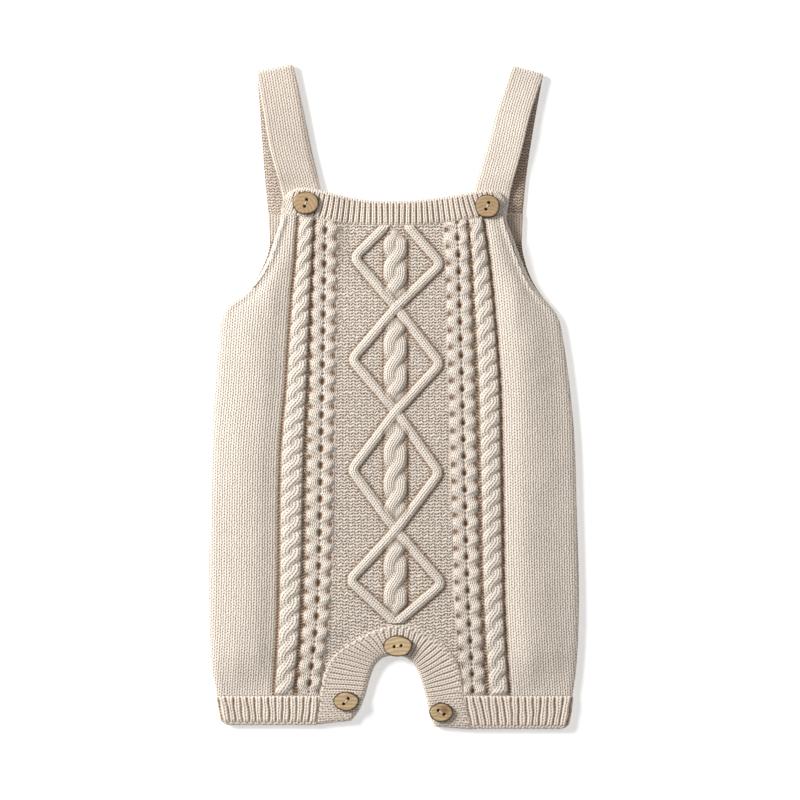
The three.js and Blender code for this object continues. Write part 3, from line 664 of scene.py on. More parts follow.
def diamond_strand(key, x, y):
    """Distance across a strand, its height and its stitch map."""
    line, slope, length = strands[key](y)
    lean = np.sqrt(1 + slope**2)
    across = (x - line) / lean
    shape = np.sqrt(np.clip(1 - (across / STRAND_HALF) ** 2, 0, 1))
    inside = (y > STRAND_FOOT) & (y < STRAND_TOP)
    under = sum(bump(y - level, DIP_REACH) for level, over in CROSSINGS if over != key)
    high = shape * inside * (1 - DIP * under)
    return abs(across), high, across / STRAND_WALE, (length + across * slope / lean) / COURSE


# %% Inner cables of the diamonds
INNER_HALF, INNER_MIDDLE = 7.2, DIAMOND_MIDDLE - 0.5
INNER_FORM = {"span": 0.92, "wales": 3, "fill": 1.2}
INNER_SPANS = (  # low and high end, level of a crossing, pitch
    (61, 107, 89.2, 17.5), (-5, 50, 22.8, 18.4), (-81, -17, -48.0, 19.2), (-143, -93, -121.3, 19.5),
)
FOOT_FADE, HEAD_FADE = 9, 7  # the cable narrows and sinks this far from its ends


def inner_cable(x, y):
    """The cable that stands in the middle of each diamond."""
    height, painted_shading, within = (np.zeros(x.shape) for _ in range(3))
    maps = [[x / WALE, y / COURSE] for _ in range(2)]
    off = x - INNER_MIDDLE
    for low, high, start, pitch in INNER_SPANS:
        part = smooth(y, low, low + FOOT_FADE) * (1 - smooth(y, high - HEAD_FADE, high))
        half = INNER_HALF * (0.45 + 0.55 * part)
        here = (y > low - 1) & (y < high + 1)
        made = cable(off, y - start, half, pitch, **INNER_FORM)
        top, dark = strands_top(made)
        inside = here & (top > 0.08)
        height = np.where(inside, top * (0.4 + 0.6 * part), height)
        painted_shading = np.where(inside, dark * part, painted_shading)
        maps = [[np.where(here, new, old) for new, old in zip(strand[1:], before)]
                for strand, before in zip(made, maps)]
        within = np.where(inside, np.where(made[0][0] >= made[1][0], 1, 2), within)
        beside = bump(abs(off) - half - 0.9, 0.9) * part * here
        # Painted shade beside the cable, deeper on the right, the side turned away from the light.
        painted_shading = np.maximum(painted_shading, beside * np.where(x > DIAMOND_MIDDLE, 0.75, 0.5))
        height = height - 0.35 * beside
    return height, painted_shading, maps, within


# %% Bead columns
BEAD_PITCH, DOT_PITCH, BEAD_SWAY = 10.9, 3.63, 0.9
BEAD_PHASES = (0.15, 0.6)  # on the left and on the right
BEAD_RIDGES, RIDGE_HALF = ((4.3, 1), (-3.5, -1)), 3.6  # distance outward, and way it winds

def beads(x, y, line, outward, phase):
    """Two winding ridges that part round a small pit once a repeat, like links of a chain."""
    turn = y / BEAD_PITCH + phase
    sway = np.cos(TURN * turn)
    away = (x - line) * outward
    height, painted_shading = np.zeros(x.shape), np.zeros(x.shape)
    for middle, direction in BEAD_RIDGES:
        ridge = middle + BEAD_SWAY * sway * direction + 0.5 * direction * np.sin(TURN * turn)
        lobe = 0.62 + 0.38 * sway
        shape = np.sqrt(np.clip(1 - ((away - ridge) / RIDGE_HALF) ** 2, 0, 1)) * lobe
        height = np.maximum(height, shape)
    pit = bump(away, 1.6) * np.clip(sway, 0, 1) ** 1.6
    rims_pit = (bump(away - 8.0, 2.0) + bump(away + 6.8, 2.1)) * np.clip(-sway, 0, 1) ** 1.4
    dots = bump(away, 0.75) * (0.5 + 0.5 * np.cos(TURN * y / DOT_PITCH)) ** 2
    # Painted shade in the pits, at the rims between links and in the dots down the middle.
    painted_shading = np.clip(0.95 * pit + 0.8 * rims_pit + 0.6 * dots, 0, 1)
    return height - 0.5 * pit - 0.3 * dots - 0.25 * rims_pit, painted_shading


# %% Relief of the whole front
(PLAIN, ROPE_A, ROPE_B, BEADS, GROUND, DIAMOND_A, DIAMOND_B, INNER_A, INNER_B) = range(9)
ROPE_HIGH, BEADS_HIGH, STRAND_HIGH, INNER_HIGH = 2.1, 1.9, 2.1, 2.3
ON_STRAND = 0.12  # a strand begins where it is this high
DROOP, DROOP_LEVELS, DROOP_HALF = 7.0, (95, 165), 48  # the ground's rows sag at the bottom


def front_relief(x, y):
    """Height over the cloth, painted shade, purl, stitch maps, and the region of each point."""
    left = x < 0
    edge, bead, ground = (
        np.where(left, front[f"{name}_left"](y), front[f"{name}_right"](y))
        for name in ("rope", "bead", "ground")
    )
    share = (x - edge) / (bead - edge)
    outward = np.where(left, -1.0, 1.0)
    from_edge = (x - edge) * outward

    rope_middle = mix(edge, bead, sum(ROPE_SHARES) / 2)
    rope_half = abs(bead - edge) * (ROPE_SHARES[1] - ROPE_SHARES[0]) / 2
    along = rope_length(y) - np.where(left, *ROPE_START)
    rope = cable(x - rope_middle, along, rope_half, ROPE_USUAL, **ROPE_FORM)
    rope_high, rope_dark = strands_top(rope)
    on_rope = (share > ROPE_SHARES[0]) & (share < ROPE_SHARES[1])
    bead_turn = np.where(left, *BEAD_PHASES)
    bead_high, bead_dark = beads(x, y, bead, outward, bead_turn)
    sway = BEAD_SWAY * np.cos(TURN * (y / BEAD_PITCH + bead_turn))
    on_beads = (share > 0.64) & ((x - ground) * outward > 0)
    a_far, a_high, *a_map = diamond_strand("a", x, y)
    b_far, b_high, *b_map = diamond_strand("b", x, y)
    strand = np.maximum(a_high, b_high)
    in_high, in_dark, in_maps, in_here = inner_cable(x, y)

    outer_groove = bump(from_edge + 0.2, 1.25)
    inner_groove = bump(x - mix(edge, bead, GROOVE_SHARE), 1.9)
    middle = smooth(-(x - ground) * outward, -0.5, 2.5)
    height = 0.25 * bump(from_edge - 3.0, 3.0)
    height = height - 0.8 * outer_groove - 0.7 * inner_groove - 0.35 * middle
    height = height + np.where(on_rope, ROPE_HIGH * rope_high, 0)
    height = height + np.where(on_beads, BEADS_HIGH * bead_high, 0)
    height = height + np.maximum(STRAND_HIGH * strand, INNER_HIGH * in_high) * middle

    pairs = ((a_far, b_far), (b_far, a_far))
    # Painted shade beside each diamond strand, where the other strand does not lie.
    beside = np.maximum(*(bump(far - 3.7, 0.9) * (other > 3.4) for far, other in pairs))
    beside = beside * (y > -147) * 0.42
    # Painted shade in the grooves, on the rope and in the bead pits, broken into bars like purl
    # rows.
    bars = 0.72 + 0.28 * np.cos(TURN * (y / 2.05 + 0.25 * np.cos(TURN * x / 2.6)))
    painted_shading = np.maximum(0.85 * outer_groove, 0.6 * inner_groove) * bars
    painted_shading = np.where(on_rope, np.maximum(painted_shading * 0.6, rope_dark), painted_shading)
    painted_shading = np.maximum(painted_shading, np.where(on_beads | (middle < 1), bead_dark, 0))
    painted_shading = np.maximum(painted_shading, np.maximum(beside, in_dark) * middle)
    on_ground = (middle > 0.5) & (strand < ON_STRAND) & (in_here < 0.5)
    in_groove = np.maximum(*(smooth(groove, 0.4, 0.7) for groove in (outer_groove, inner_groove)))
    purl = np.where(on_rope, 0.0, np.where(on_ground, 1.0, in_groove))

    region = np.full(x.shape, PLAIN)
    region[on_rope] = np.where(rope[0][0] >= rope[1][0], ROPE_A, ROPE_B)[on_rope]
    region[on_beads] = BEADS
    region[(purl > 0.5) | on_ground] = GROUND
    on_strand = (strand > ON_STRAND) & (middle > 0.5)
    region[on_strand] = np.where(a_high >= b_high, DIAMOND_A, DIAMOND_B)[on_strand]
    for number, name in ((1, INNER_A), (2, INNER_B)):
        region[(in_here == number) & (strand < ON_STRAND)] = name
    droop = 1 - np.minimum(1, abs(x - DIAMOND_MIDDLE) / DROOP_HALF)
    droop = DROOP * smooth(-y, *DROOP_LEVELS) * droop
    from_bead = x - bead
    maps = [
        ((x - edge) / WALE + 0.5, y / COURSE), rope[0][1:], rope[1][1:],
        ((from_bead + sway * np.tanh(from_bead)) / 2.7, (y + 0.5 * abs(from_bead)) / 2.2),
        (x / 4.0, (y + droop) / 2.0), a_map, b_map, *in_maps,
    ]
    return height, painted_shading, purl, maps, region


# %% [markdown]
# ## The front panel
# Its grid is dense where the cables are and wide at the plain sides. The columns of the purl ground
# fan out at the bottom to end on the seam of the crotch band, as the knitting is shaped there.

# %% Plan of the front panel
BOTTOM_BLEND, TOP_BLEND = 95.0, 30.0
arch_seam_y = curve(ARCH_LINE[2:13, 2], ARCH_LINE[2:13, 3])
SEAM_START, SEAM_END = ARCH_LINE[2, 2], ARCH_LINE[12, 2]
INSIDE = 9.0  # counts as far from any edge
GROOVE_COLUMNS = (0.955, 0.975)  # two columns close by the rope's outer groove
side_shares = np.linspace(0, 1, 17) * GROOVE_COLUMNS[0]
knit_shares = np.linspace(0, 1, 40)
bead_shares = np.linspace(0, 1, 12)
ground_shares = np.linspace(0, 1, 102)
columns = [  # two lines of the front, and how far between them each column runs
    (a, b, float(share)) for a, b, shares in (
        ("left", "rope_left", [*side_shares[:-1], *GROOVE_COLUMNS]),
        ("rope_left", "bead_left", knit_shares[:-1]),
        ("bead_left", "ground_left", bead_shares[:-1]),
        ("ground_left", "ground_right", ground_shares),
        ("ground_right", "bead_right", bead_shares[1:]),
        ("bead_right", "rope_right", knit_shares[1:]),
        ("rope_right", "right", [0.025, 0.045, *(1 - side_shares[::-1][1:])]),
    ) for share in shares
]


def arch_seam(shares):
    """Points along the seam of the crotch band."""
    x = mix(SEAM_START, SEAM_END, shares)
    seam = np.stack([x, arch_seam_y(x)], -1)
    outward = seam - ARCH_CENTRE
    return seam + outward / np.linalg.norm(outward, axis=1)[:, None] * SEAM


def fan_to_seam(x, y, ground, shares):
    """Bring the foot of the middle columns onto the seam, less and less towards the top."""
    seam = arch_seam(shares)
    fade = np.maximum(0, 1 - (y[:, ground] - BOTTOM) / BOTTOM_BLEND)
    x[:, ground] += (seam[:, 0] - x[0, ground]) * fade
    y[:, ground] += (seam[:, 1] - BOTTOM) * fade


def insets(count):
    """Distance in from the nearer side edge, for each of a number of columns."""
    inset = np.full(count, INSIDE)
    inset[: len(RIM_AT)], inset[-len(RIM_AT) :] = RIM_AT, RIM_AT[::-1]
    return inset


def front_plan():
    level = evenly(BOTTOM, TOP, 0.9)
    left, right = front["left"](level), front["right"](level)
    places = [mix(front[a](level), front[b](level), share) for a, b, share in columns[2:-2]]
    x = np.stack([*(left + r for r in RIM_AT), *places, *(right - r for r in RIM_AT[::-1])], -1)
    y = np.repeat(level[:, None], x.shape[1], 1)
    first = len(RIM_AT) + columns.index(("ground_left", "ground_right", 0.0)) - 2
    fan_to_seam(x, y, slice(first, first + len(ground_shares)), ground_shares)
    reach = np.maximum(0, 1 - (TOP - y) / TOP_BLEND)
    return x, y + (neck_foot(x[-1]) - SEAM - TOP) * reach, insets(x.shape[1])


x, y, inset = front_plan()
print("the front's grid has", x.shape[0], "rows and", x.shape[1], "columns")

# %% Front panel
CAVITY, CAVITY_DEPTH = 0.38, 1.8  # painted shade in sunk places and painted highlight on raised ones, and how deep is full
SMALL_FOLDS = [
    (-62, 112, -74, 70, 3.5, 0.5), (-52, 112, -50, 84, 3.0, 0.4), (64, 110, 74, 72, 3.5, 0.5),
    (54, 110, 52, 86, 3.0, 0.4), (-112, 30, -86, 22, 5, 0.5), (-110, -10, -92, -52, 7, 0.5),
    (-106, -90, -90, -130, 8, 0.45), (106, 20, 84, 6, 5, 0.5), (110, -30, 92, -72, 7, 0.45),
    (104, -100, 92, -150, 8, 0.5), (-88, -150, -86, -192, 4, 0.4),
    (-102, -160, -104, -193, 3.5, 0.4), (90, -150, 88, -192, 4, 0.4),
    (104, -156, 106, -193, 3.5, 0.4), (-20, 96, -14, 70, 4, -0.3),
]


def blurred(grid, cells):
    """A grid of values, softened over a number of cells each way."""
    reach = 3 * cells
    window = np.exp(-((np.arange(-reach, reach + 1) / cells) ** 2) / 2)
    for axis in (0, 1):
        wide = np.pad(grid, [(reach, reach) if k == axis else (0, 0) for k in (0, 1)], mode="edge")
        grid = np.apply_along_axis(np.convolve, axis, wide, window / window.sum(), mode="valid")
    return grid


swell = puff(x, y)
under = front_underside(x, y) + 0.9 * swell
height, painted_shading, purl, maps, _ = front_relief(x, y)
region = front_relief(centres(x), centres(y))[4]
# Painted shade where the relief lies below its softened self, painted highlight where it stands
# above.
sunken = np.clip((blurred(height, 3) - height) / CAVITY_DEPTH, -0.6, 1)
patterned = abs(x) < abs(front["rope_left"](y)) + 3
painted_shading = np.clip(painted_shading + CAVITY * sunken * patterned, -0.3, 1)
ends = smooth(np.arange(len(y)), 0, 3) * smooth(np.arange(len(y))[::-1], 0, 3)
soft = fold_height(SMALL_FOLDS, x, y) * np.minimum(1, inset / INSIDE) + 0.1 * swell
soft = soft + armhole_roll(x, y)
over = under + rim(inset) + (height + soft) * ends[:, None] * np.minimum(1, inset / RIM_AT[-1])
front_panel = flat_wall(
    "front_panel_cloth", x, y, over, under, maps, painted_shading, purl, region=region, coarse=6
)

# %% [markdown]
# ## The back panel
# It is plain stocking stitch and lies flat on the table, with a few shallow troughs where the cloth
# has lifted. It is hidden by the front, apart from its underside. Where its inside shows beside the
# armholes, it carries painted shade, deeper on the right.

# %% Back panel
BACK_LINES = np.array([
    (-195, -115.6, 116.6), (-148, -120.4, 120.4), (-70, -119.6, 119.0), (5, -117.0, 114.7),
    (36, -114.4, 110.4), (51, -112.6, 107.0), (58, -109.0, 102.4), (66, -99.2, 95.9),
    (76, -90.3, 89.8), (88, -83.9, 85.4), (100, -81.0, 83.4),
])
back_left, back_right = (curve(BACK_LINES[:, 0], BACK_LINES[:, k]) for k in (1, 2))
BACK_TOP, BACK_GROUND = 100.0, 0.6
SIDE_COLUMNS, MIDDLE_COLUMNS = 28, 42
REVERSE_PAINTED_SHADE = {"left": 0.22, "right": 0.46}  # painted shade on the inside, deeper on the right, which is turned away from the light
REVERSE_FROM = (44, 56)  # levels where the inside begins to show
BACK_FOLDS = [
    (-70, 60, -40, -20, 9, 0.55), (60, 70, 78, 0, 8, 0.5), (-90, -60, -70, -150, 11, 0.5),
    (20, 40, 44, -60, 12, 0.45), (86, -70, 70, -160, 10, 0.55), (-20, -60, -34, -130, 9, 0.4),
]


def back_plan():
    level = evenly(BOTTOM, BACK_TOP, 2.4)[:, None]
    left, right = back_left(level), back_right(level)
    first, last = left * (1 - BACK_GROUND), right * (1 - BACK_GROUND)
    shares = np.linspace(0, 1, MIDDLE_COLUMNS)
    rims, side = np.array(RIM_AT), np.linspace(0, 1, SIDE_COLUMNS + 2)[1:-1]
    x = np.concatenate([
        left + rims, mix(left + rims[-1], first, side), mix(first, last, shares),
        mix(last, right - rims[-1], side), right - rims[::-1],
    ], 1)
    y = np.repeat(level, x.shape[1], 1)
    start = len(rims) + SIDE_COLUMNS
    fan_to_seam(x, y, slice(start, start + MIDDLE_COLUMNS), shares)
    return x, y - SEAM * np.maximum(0, 1 - (BACK_TOP - level) / TOP_BLEND), insets(x.shape[1])


# Painted shade on the inside of the cloth, by side.
def reverse_painted_shade(x):
    return np.where(x < 0, REVERSE_PAINTED_SHADE["left"], REVERSE_PAINTED_SHADE["right"])


x, y, inset = back_plan()
trough = fold_height(BACK_FOLDS, x, y) * np.minimum(1, inset / INSIDE)
over = np.full(x.shape, CLOTH) + trough
under = CLOTH - rim(inset) + trough
back_panel = flat_wall(
    "back_panel_cloth", x, y, over, under, [(x / WALE, y / COURSE)],
    smooth(y, *REVERSE_FROM) * reverse_painted_shade(x), 1.0, coarse=1, below=(0.0, 0.0),
)

# %% [markdown]
# ## Ribbed bands
# The neck, crotch and leg edges are one-by-one rib: a knit wale stands up, and the purl wale beside
# it sinks to a groove, which is given painted shade towards brown. The groove is deep enough to
# show from the side, so it is in the mesh and not only in the shader. The cast-off edge is a row of
# small knots.


# %% Rib relief
def rib(u, depth):
    """Height of a rib, and painted shade in its groove, one for each whole number of u."""
    side = 2 * abs(u - np.floor(u) - 0.5)
    groove = smooth(side, 0.5, 0.95)
    return depth * (1 - smooth(side, 0.4, 0.95)) - 0.15 * bump(side, 0.2), groove


def knots(u, from_edge, reach=2.2):
    """The cast-off row: a knot on each rib, and a thin line of painted shadow under it."""
    row = np.clip(1 - ((from_edge - reach * 0.5) / (reach * 0.55)) ** 2, 0, 1) ** 0.5
    return row * (0.75 + 0.25 * np.cos(TURN * u)), bump(from_edge - reach * 1.1, 0.35)


# %% Front neck band
RIB_PITCH, RIB_DEPTH, FAN = 3.73, 1.2, 4.8
PLAIN_CORNER = (64.5, 67.5)  # the ribs end under the button


def front_neck_band():
    foot_x = evenly(front["left"](TOP), front["right"](TOP), 0.46)
    inset = np.minimum(foot_x - foot_x[0], foot_x[-1] - foot_x)[None]
    share = np.linspace(0, 1, 22)[:, None]
    foot, edge = neck_foot(foot_x)[None], neck_edge(foot_x)[None]
    x, y = np.repeat(foot_x[None], len(share), 0), mix(foot, edge, share)
    to_edge = (1 - share) * (edge - foot)
    converge = 1 + 0.05 * share * smooth(abs(x), 20, 70)
    fan = FAN * smooth(abs(x), 5, 66) * np.sign(x) * share
    u = (x * converge + fan) / RIB_PITCH + 0.06 * np.sin(x / 5.1) * np.cos(share * 2.2)
    high, dark = rib(u, RIB_DEPTH)
    knot, line = knots(u, to_edge)
    side_knot, side_line = knots(y / RIB_PITCH, inset + 0 * y, 2.4)
    plain, seam = smooth(abs(x), *PLAIN_CORNER), smooth(share, 0.0, 0.12)
    body = smooth(to_edge, 1.6, 2.6) * (1 - plain)
    height = high * body * seam + knot * 0.9 * (1 - plain) + plain * 0.5 * smooth(inset, 0, 2)
    height = np.maximum(height, plain * side_knot)
    # Painted shade in the rib grooves and under the knots.
    painted_shading = np.maximum(0.75 * dark * body * (0.2 + 0.8 * seam), 0.4 * line * (1 - plain))
    painted_shading = np.maximum(painted_shading, 0.35 * plain * side_line)
    under = front_underside(x, y)
    over = under + rim(np.minimum(to_edge, inset)) + height
    return flat_wall("front_neck_band_cloth", x, y, over, under, [(u, y / COURSE)], painted_shading)


neck_band = front_neck_band()

# %% Back neck band
BACK_BAND = np.array([
    (-81.9, -81.0, 118.3, 0.0), (-81.5, -80.6, 118.3, 0.4), (-80.7, -79.8, 118.3, 1.2),
    (-78.4, -77.5, 118.3, 3.5), (-56.0, -55.4, 118.3, 3.5), (-36.0, -36.0, 115.4, 3.5),
    (0.0, 0.0, 114.0, 3.5), (38.0, 38.0, 115.4, 3.5), (58.6, 58.0, 118.3, 3.5),
    (80.5, 79.9, 118.3, 3.5), (82.8, 82.2, 118.3, 1.2), (83.6, 83.0, 118.3, 0.4),
    (84.0, 83.4, 118.3, 0.0),
])
BACK_RIB, UNDER_STRAPS = 0.5, (54, 57)  # rib depth, and where it turns plain


def back_neck_band():
    along = np.concatenate([BACK_BAND[:3, 0], evenly(-78.4, 80.5, 0.9), BACK_BAND[-3:, 0]])
    foot, top, inset = (np.interp(along, BACK_BAND[:, 0], BACK_BAND[:, k])[None] for k in (1, 2, 3))
    share = np.linspace(0, 1, 14)[:, None]
    x, y = mix(foot, along[None], share), mix(BACK_TOP, top, share)
    u = x / RIB_PITCH
    high, dark = rib(u, BACK_RIB)
    ribbed = 1 - smooth(abs(x), *UNDER_STRAPS)
    sunk, under_dark = BACK_RIB - mix(BACK_RIB, high, ribbed), dark * ribbed
    over = CLOTH - sunk * smooth(share, 0, 0.1) * (1 - smooth(share, 0.85, 1))
    under = CLOTH - rim(np.minimum(inset, (1 - share) * (top - BACK_TOP))) + sunk
    # Painted shade: on the inside beside the straps, and in the rib grooves on both faces.
    return flat_wall(
        "back_neck_band_cloth", x, y, over, under, [(u, y / COURSE)],
        mix(reverse_painted_shade(x), dark, ribbed), coarse=1, below=(under_dark, 0.0),
    )


back_band = back_neck_band()

# %% Crotch bands
ARCH_RIBS, ARCH_RIB = 46, 0.75  # count and depth
LAST_STATION = len(ARCH_LINE) - 1
NUB_PITCH, CHAIN_PITCH = 4.2, 5.0


def crotch_band(name, front_side):
    """Ribs that fan out from the free edge of the arch to its seam."""
    station = evenly(0, LAST_STATION, LAST_STATION / 330)
    inner_x, inner_y, outer_x, outer_y = (line(station)[None] for line in arch)
    share = np.linspace(0, 1, 27)[:, None]
    x, y = mix(inner_x, outer_x, share), mix(inner_y, outer_y, share)
    middle_row = len(share) // 2
    steps_along = np.hypot(np.diff(x[middle_row]), np.diff(y[middle_row]))
    run = np.concatenate([[0], np.cumsum(steps_along)])[None]
    u = run / run[0, -1] * ARCH_RIBS + 0.10 * np.sin(run / 7.3) * share
    u = u + 0.06 * np.sin(share * 7 + run / 3.1)
    width = np.hypot(outer_x - inner_x, outer_y - inner_y)
    from_edge, from_seam = share * width, (1 - share) * width
    ends = np.minimum(run, run[0, -1] - run)
    high, dark = rib(u, ARCH_RIB)
    knot, line = knots(u, from_edge, 1.8)
    body = smooth(from_edge, 1.2, 2.2) * smooth(from_seam, 2.6, 4.2)
    chain = bump(from_seam - 2.0, 1.3)
    links = 0.5 + 0.5 * np.cos(TURN * (u * 0.95 + from_seam / CHAIN_PITCH))
    height = high * body + knot * 0.5 + chain * (0.3 + 0.7 * links)
    # Painted shade in the rib grooves, between the links of the chain and under the knots.
    painted_shading = np.maximum(dark * body * 0.6, 0.6 * chain * (1 - links) ** 1.5)
    painted_shading = np.maximum(painted_shading, 0.3 * line)
    nubs = smooth(abs(station - LAST_STATION / 2)[None], 4.5, 5.4) * body
    speckle = 0.5 + 0.5 * np.cos(TURN * u) * np.cos(TURN * from_edge / NUB_PITCH)
    height = mix(height, 0.2 + 0.8 * speckle, nubs)
    painted_shading = mix(painted_shading, 0.5 * (1 - speckle) ** 2, nubs)
    edge = rim(np.minimum(from_edge, ends))
    if front_side:
        under = front_underside(x, y)
        over = under + edge + height * smooth(ends, 0, 1.5)
    else:
        over = np.full(x.shape, CLOTH)
        under = CLOTH - edge + 0.4 * (1 - high / ARCH_RIB) * body
    coarse = 4 if front_side else 1
    return flat_wall(name, x, y, over, under, [(u, from_edge / COURSE)], painted_shading, coarse=coarse)


front_crotch = crotch_band("front_crotch_band_cloth", True)
back_crotch = crotch_band("back_crotch_band_cloth", False)

# %% [markdown]
# ## Leg cuffs
# A cuff is one wall folded round the outer side of the leg. Its section runs along the back layer,
# turns up at the side and comes back along the front, and the ribs run down across it.

# %% Leg cuffs
CUFF_ROWS = {  # level, outer side
    "left": [(BOTTOM - SEAM, -115.6), (-204, -114), (-212, -112.5), (-214.4, -110)],
    "right": [(BOTTOM - SEAM, 116.6), (-206, 115.5), (-214.6, 113.6), (-217, 111)],
}
CUFF_ARCH = {"left": (0, 2.2), "right": (14, 11.8)}  # stations of the arch beside each cuff
CUFF_RIBS, FOLD_RIBS = 14, 1.2  # on each side, and round the fold


def there_and_back(out, turn, back):
    """Values along a cuff's section: the back layer, the fold, and the front layer."""
    return np.concatenate([out[..., :-1], turn, back[..., ::-1][..., 1:]], -1)


def leg_cuff(side):
    rows = np.array(CUFF_ROWS[side][::-1])
    y = evenly(rows[0, 0], rows[-1, 0], 0.9)[:, None]
    outer = np.interp(y, rows[:, 0], rows[:, 1])
    outward = np.sign(outer)
    at = np.linspace(*CUFF_ARCH[side], 40)
    inner = np.interp(y, arch[3](at), arch[2](at)) + SEAM * outward
    lift = CLOTH + GAP / 2
    turn_x = outer - outward * lift
    share = np.linspace(0, 1, 128)
    angle = np.linspace(-math.pi / 2, math.pi / 2, 13)
    flat_x, flat = mix(inner, turn_x, share), np.ones(share.shape)
    x = there_and_back(flat_x, turn_x + outward * lift * np.cos(angle), flat_x)
    slit = there_and_back(flat_x, turn_x + outward * GAP / 2 * np.cos(angle), flat_x)
    z = there_and_back(0 * flat, lift + lift * np.sin(angle), (LAYER + CLOTH) * flat)
    slit_z = there_and_back(CLOTH * flat, lift + GAP / 2 * np.sin(angle), LAYER * flat)
    round_it = there_and_back(-flat, np.sin(angle), flat)[None]
    sideways = there_and_back(0 * flat, np.cos(angle), 0 * flat)[None] * outward
    fold_u = CUFF_RIBS + FOLD_RIBS * (angle / math.pi + 0.5)
    u = there_and_back(CUFF_RIBS * share, fold_u, 2 * CUFF_RIBS + FOLD_RIBS - CUFF_RIBS * share)
    above, below_seam = y - y[0], y[-1] - y
    u = u + 0.07 * np.sin(u * 1.9) * np.sin(above / 4.6) + 0.03 * np.sin(above / 1.9 + 2.3 * u)
    high, dark = rib(u, 1.0)
    knot, line = knots(u, above, 2.6)
    body = smooth(above, 2.2, 3.4) * smooth(below_seam, 0.2, 2.2)
    on_top = smooth(round_it, -0.2, 0.6)
    relief = (high * body + knot * 0.8 * smooth(above, -0.5, 1.5)) * on_top
    relief = relief - (0.6 * (1 - high) * body) * (1 - on_top)
    # Painted shade in the rib grooves, uneven from rib to rib, and under the knots.
    uneven_groove = 0.62 + 0.25 * np.sin(np.floor(u) * 2.4) + 0.2 * bump(below_seam - 2.6, 1.2)
    painted_shading = np.maximum(dark * body * uneven_groove, 0.45 * line)
    reach = relief - (CLOTH - rim(above))
    grid_y = np.repeat(y, x.shape[1], 1)
    outer_points = np.dstack([x + reach * sideways, grid_y, z + reach * round_it])
    inner_points = np.dstack([slit, grid_y, np.repeat(slit_z[None], len(y), 0)])
    if side == "right":  # wound the other way, so that its faces look outward too
        outer_points, inner_points, u, painted_shading = (
            grid[:, ::-1] for grid in (outer_points, inner_points, u, painted_shading)
        )
    maps = [(u, grid_y / COURSE)]
    return wall(f"leg_cuff_{side}_cloth", outer_points, inner_points, maps, painted_shading)


cuffs = {side: leg_cuff(side) for side in ("left", "right")}

# %% [markdown]
# ## Straps
# Each strap is one long strip of stocking stitch: it leaves the back band, folds over at the
# shoulder and comes down behind the corner of the bib. Both faces of it show, so both are fine.

# %% Runs of the straps
STRAP_RUNS = {
    "left": (
        [(-81.9, 118.6, -57.6, 118.6), (-84.4, 143, -60, 144), (-86.6, 172, -62.4, 175),
         (-89.2, 209.4, -65.2, 214.3)],
        [(-89.2, 209.4, -65.2, 214.3), (-84.7, 184.3, -58.9, 186.5), (-80.4, 160, -53.6, 160.5),
         (-73.3, 133.7, -47.6, 133.7), (-69.4, 109, -45.6, 108)],
    ),
    "right": (
        [(84, 118.6, 60.4, 118.6), (86.6, 145, 63.6, 146), (91, 174, 69, 177),
         (97, 207.6, 76.6, 212.9)],
        [(97, 207.6, 76.6, 212.9), (89.1, 184.3, 66.6, 185.6), (83.2, 160, 59.6, 160.5),
         (76.2, 133.7, 52.2, 133.7), (72.4, 109, 49.6, 108)],
    ),
}
FOLD_ROWS, RUN_ROWS = 9, 66
FRONT_RUN_PAINTED_SHADE = {"left": 0.14, "right": 0.03}  # painted shade on the front run, deeper on the left strap, which tilts away from the light


def strap_run(stations, lift):
    """Both edges along one run, at the middle of the wall."""
    table = np.array(stations, float)
    along = np.arange(len(table))
    at = evenly(0, along[-1], along[-1] / RUN_ROWS)
    edges = [curve(along, table[:, k])(at) for k in range(4)]
    z = np.full(at.shape, lift + CLOTH / 2)
    return np.stack([edges[0], edges[1], z], -1), np.stack([edges[2], edges[3], z], -1)


# %% Straps
STRAP_SHARES = np.concatenate([
    [0, 0.017, 0.05, 0.1, 0.15], np.linspace(0.2, 0.8, 19), [0.85, 0.9, 0.95, 0.983, 1],
])
SELVEDGE, SELVEDGE_PITCH = 0.35, 3.8
SETTLE_ALONG, BUTTONED = 40, (38, 22)  # distances from the fold and from the lower end
TILT, TILT_BACK = 2.9, 0.8  # the outer edge stands up, the inner one sinks a little


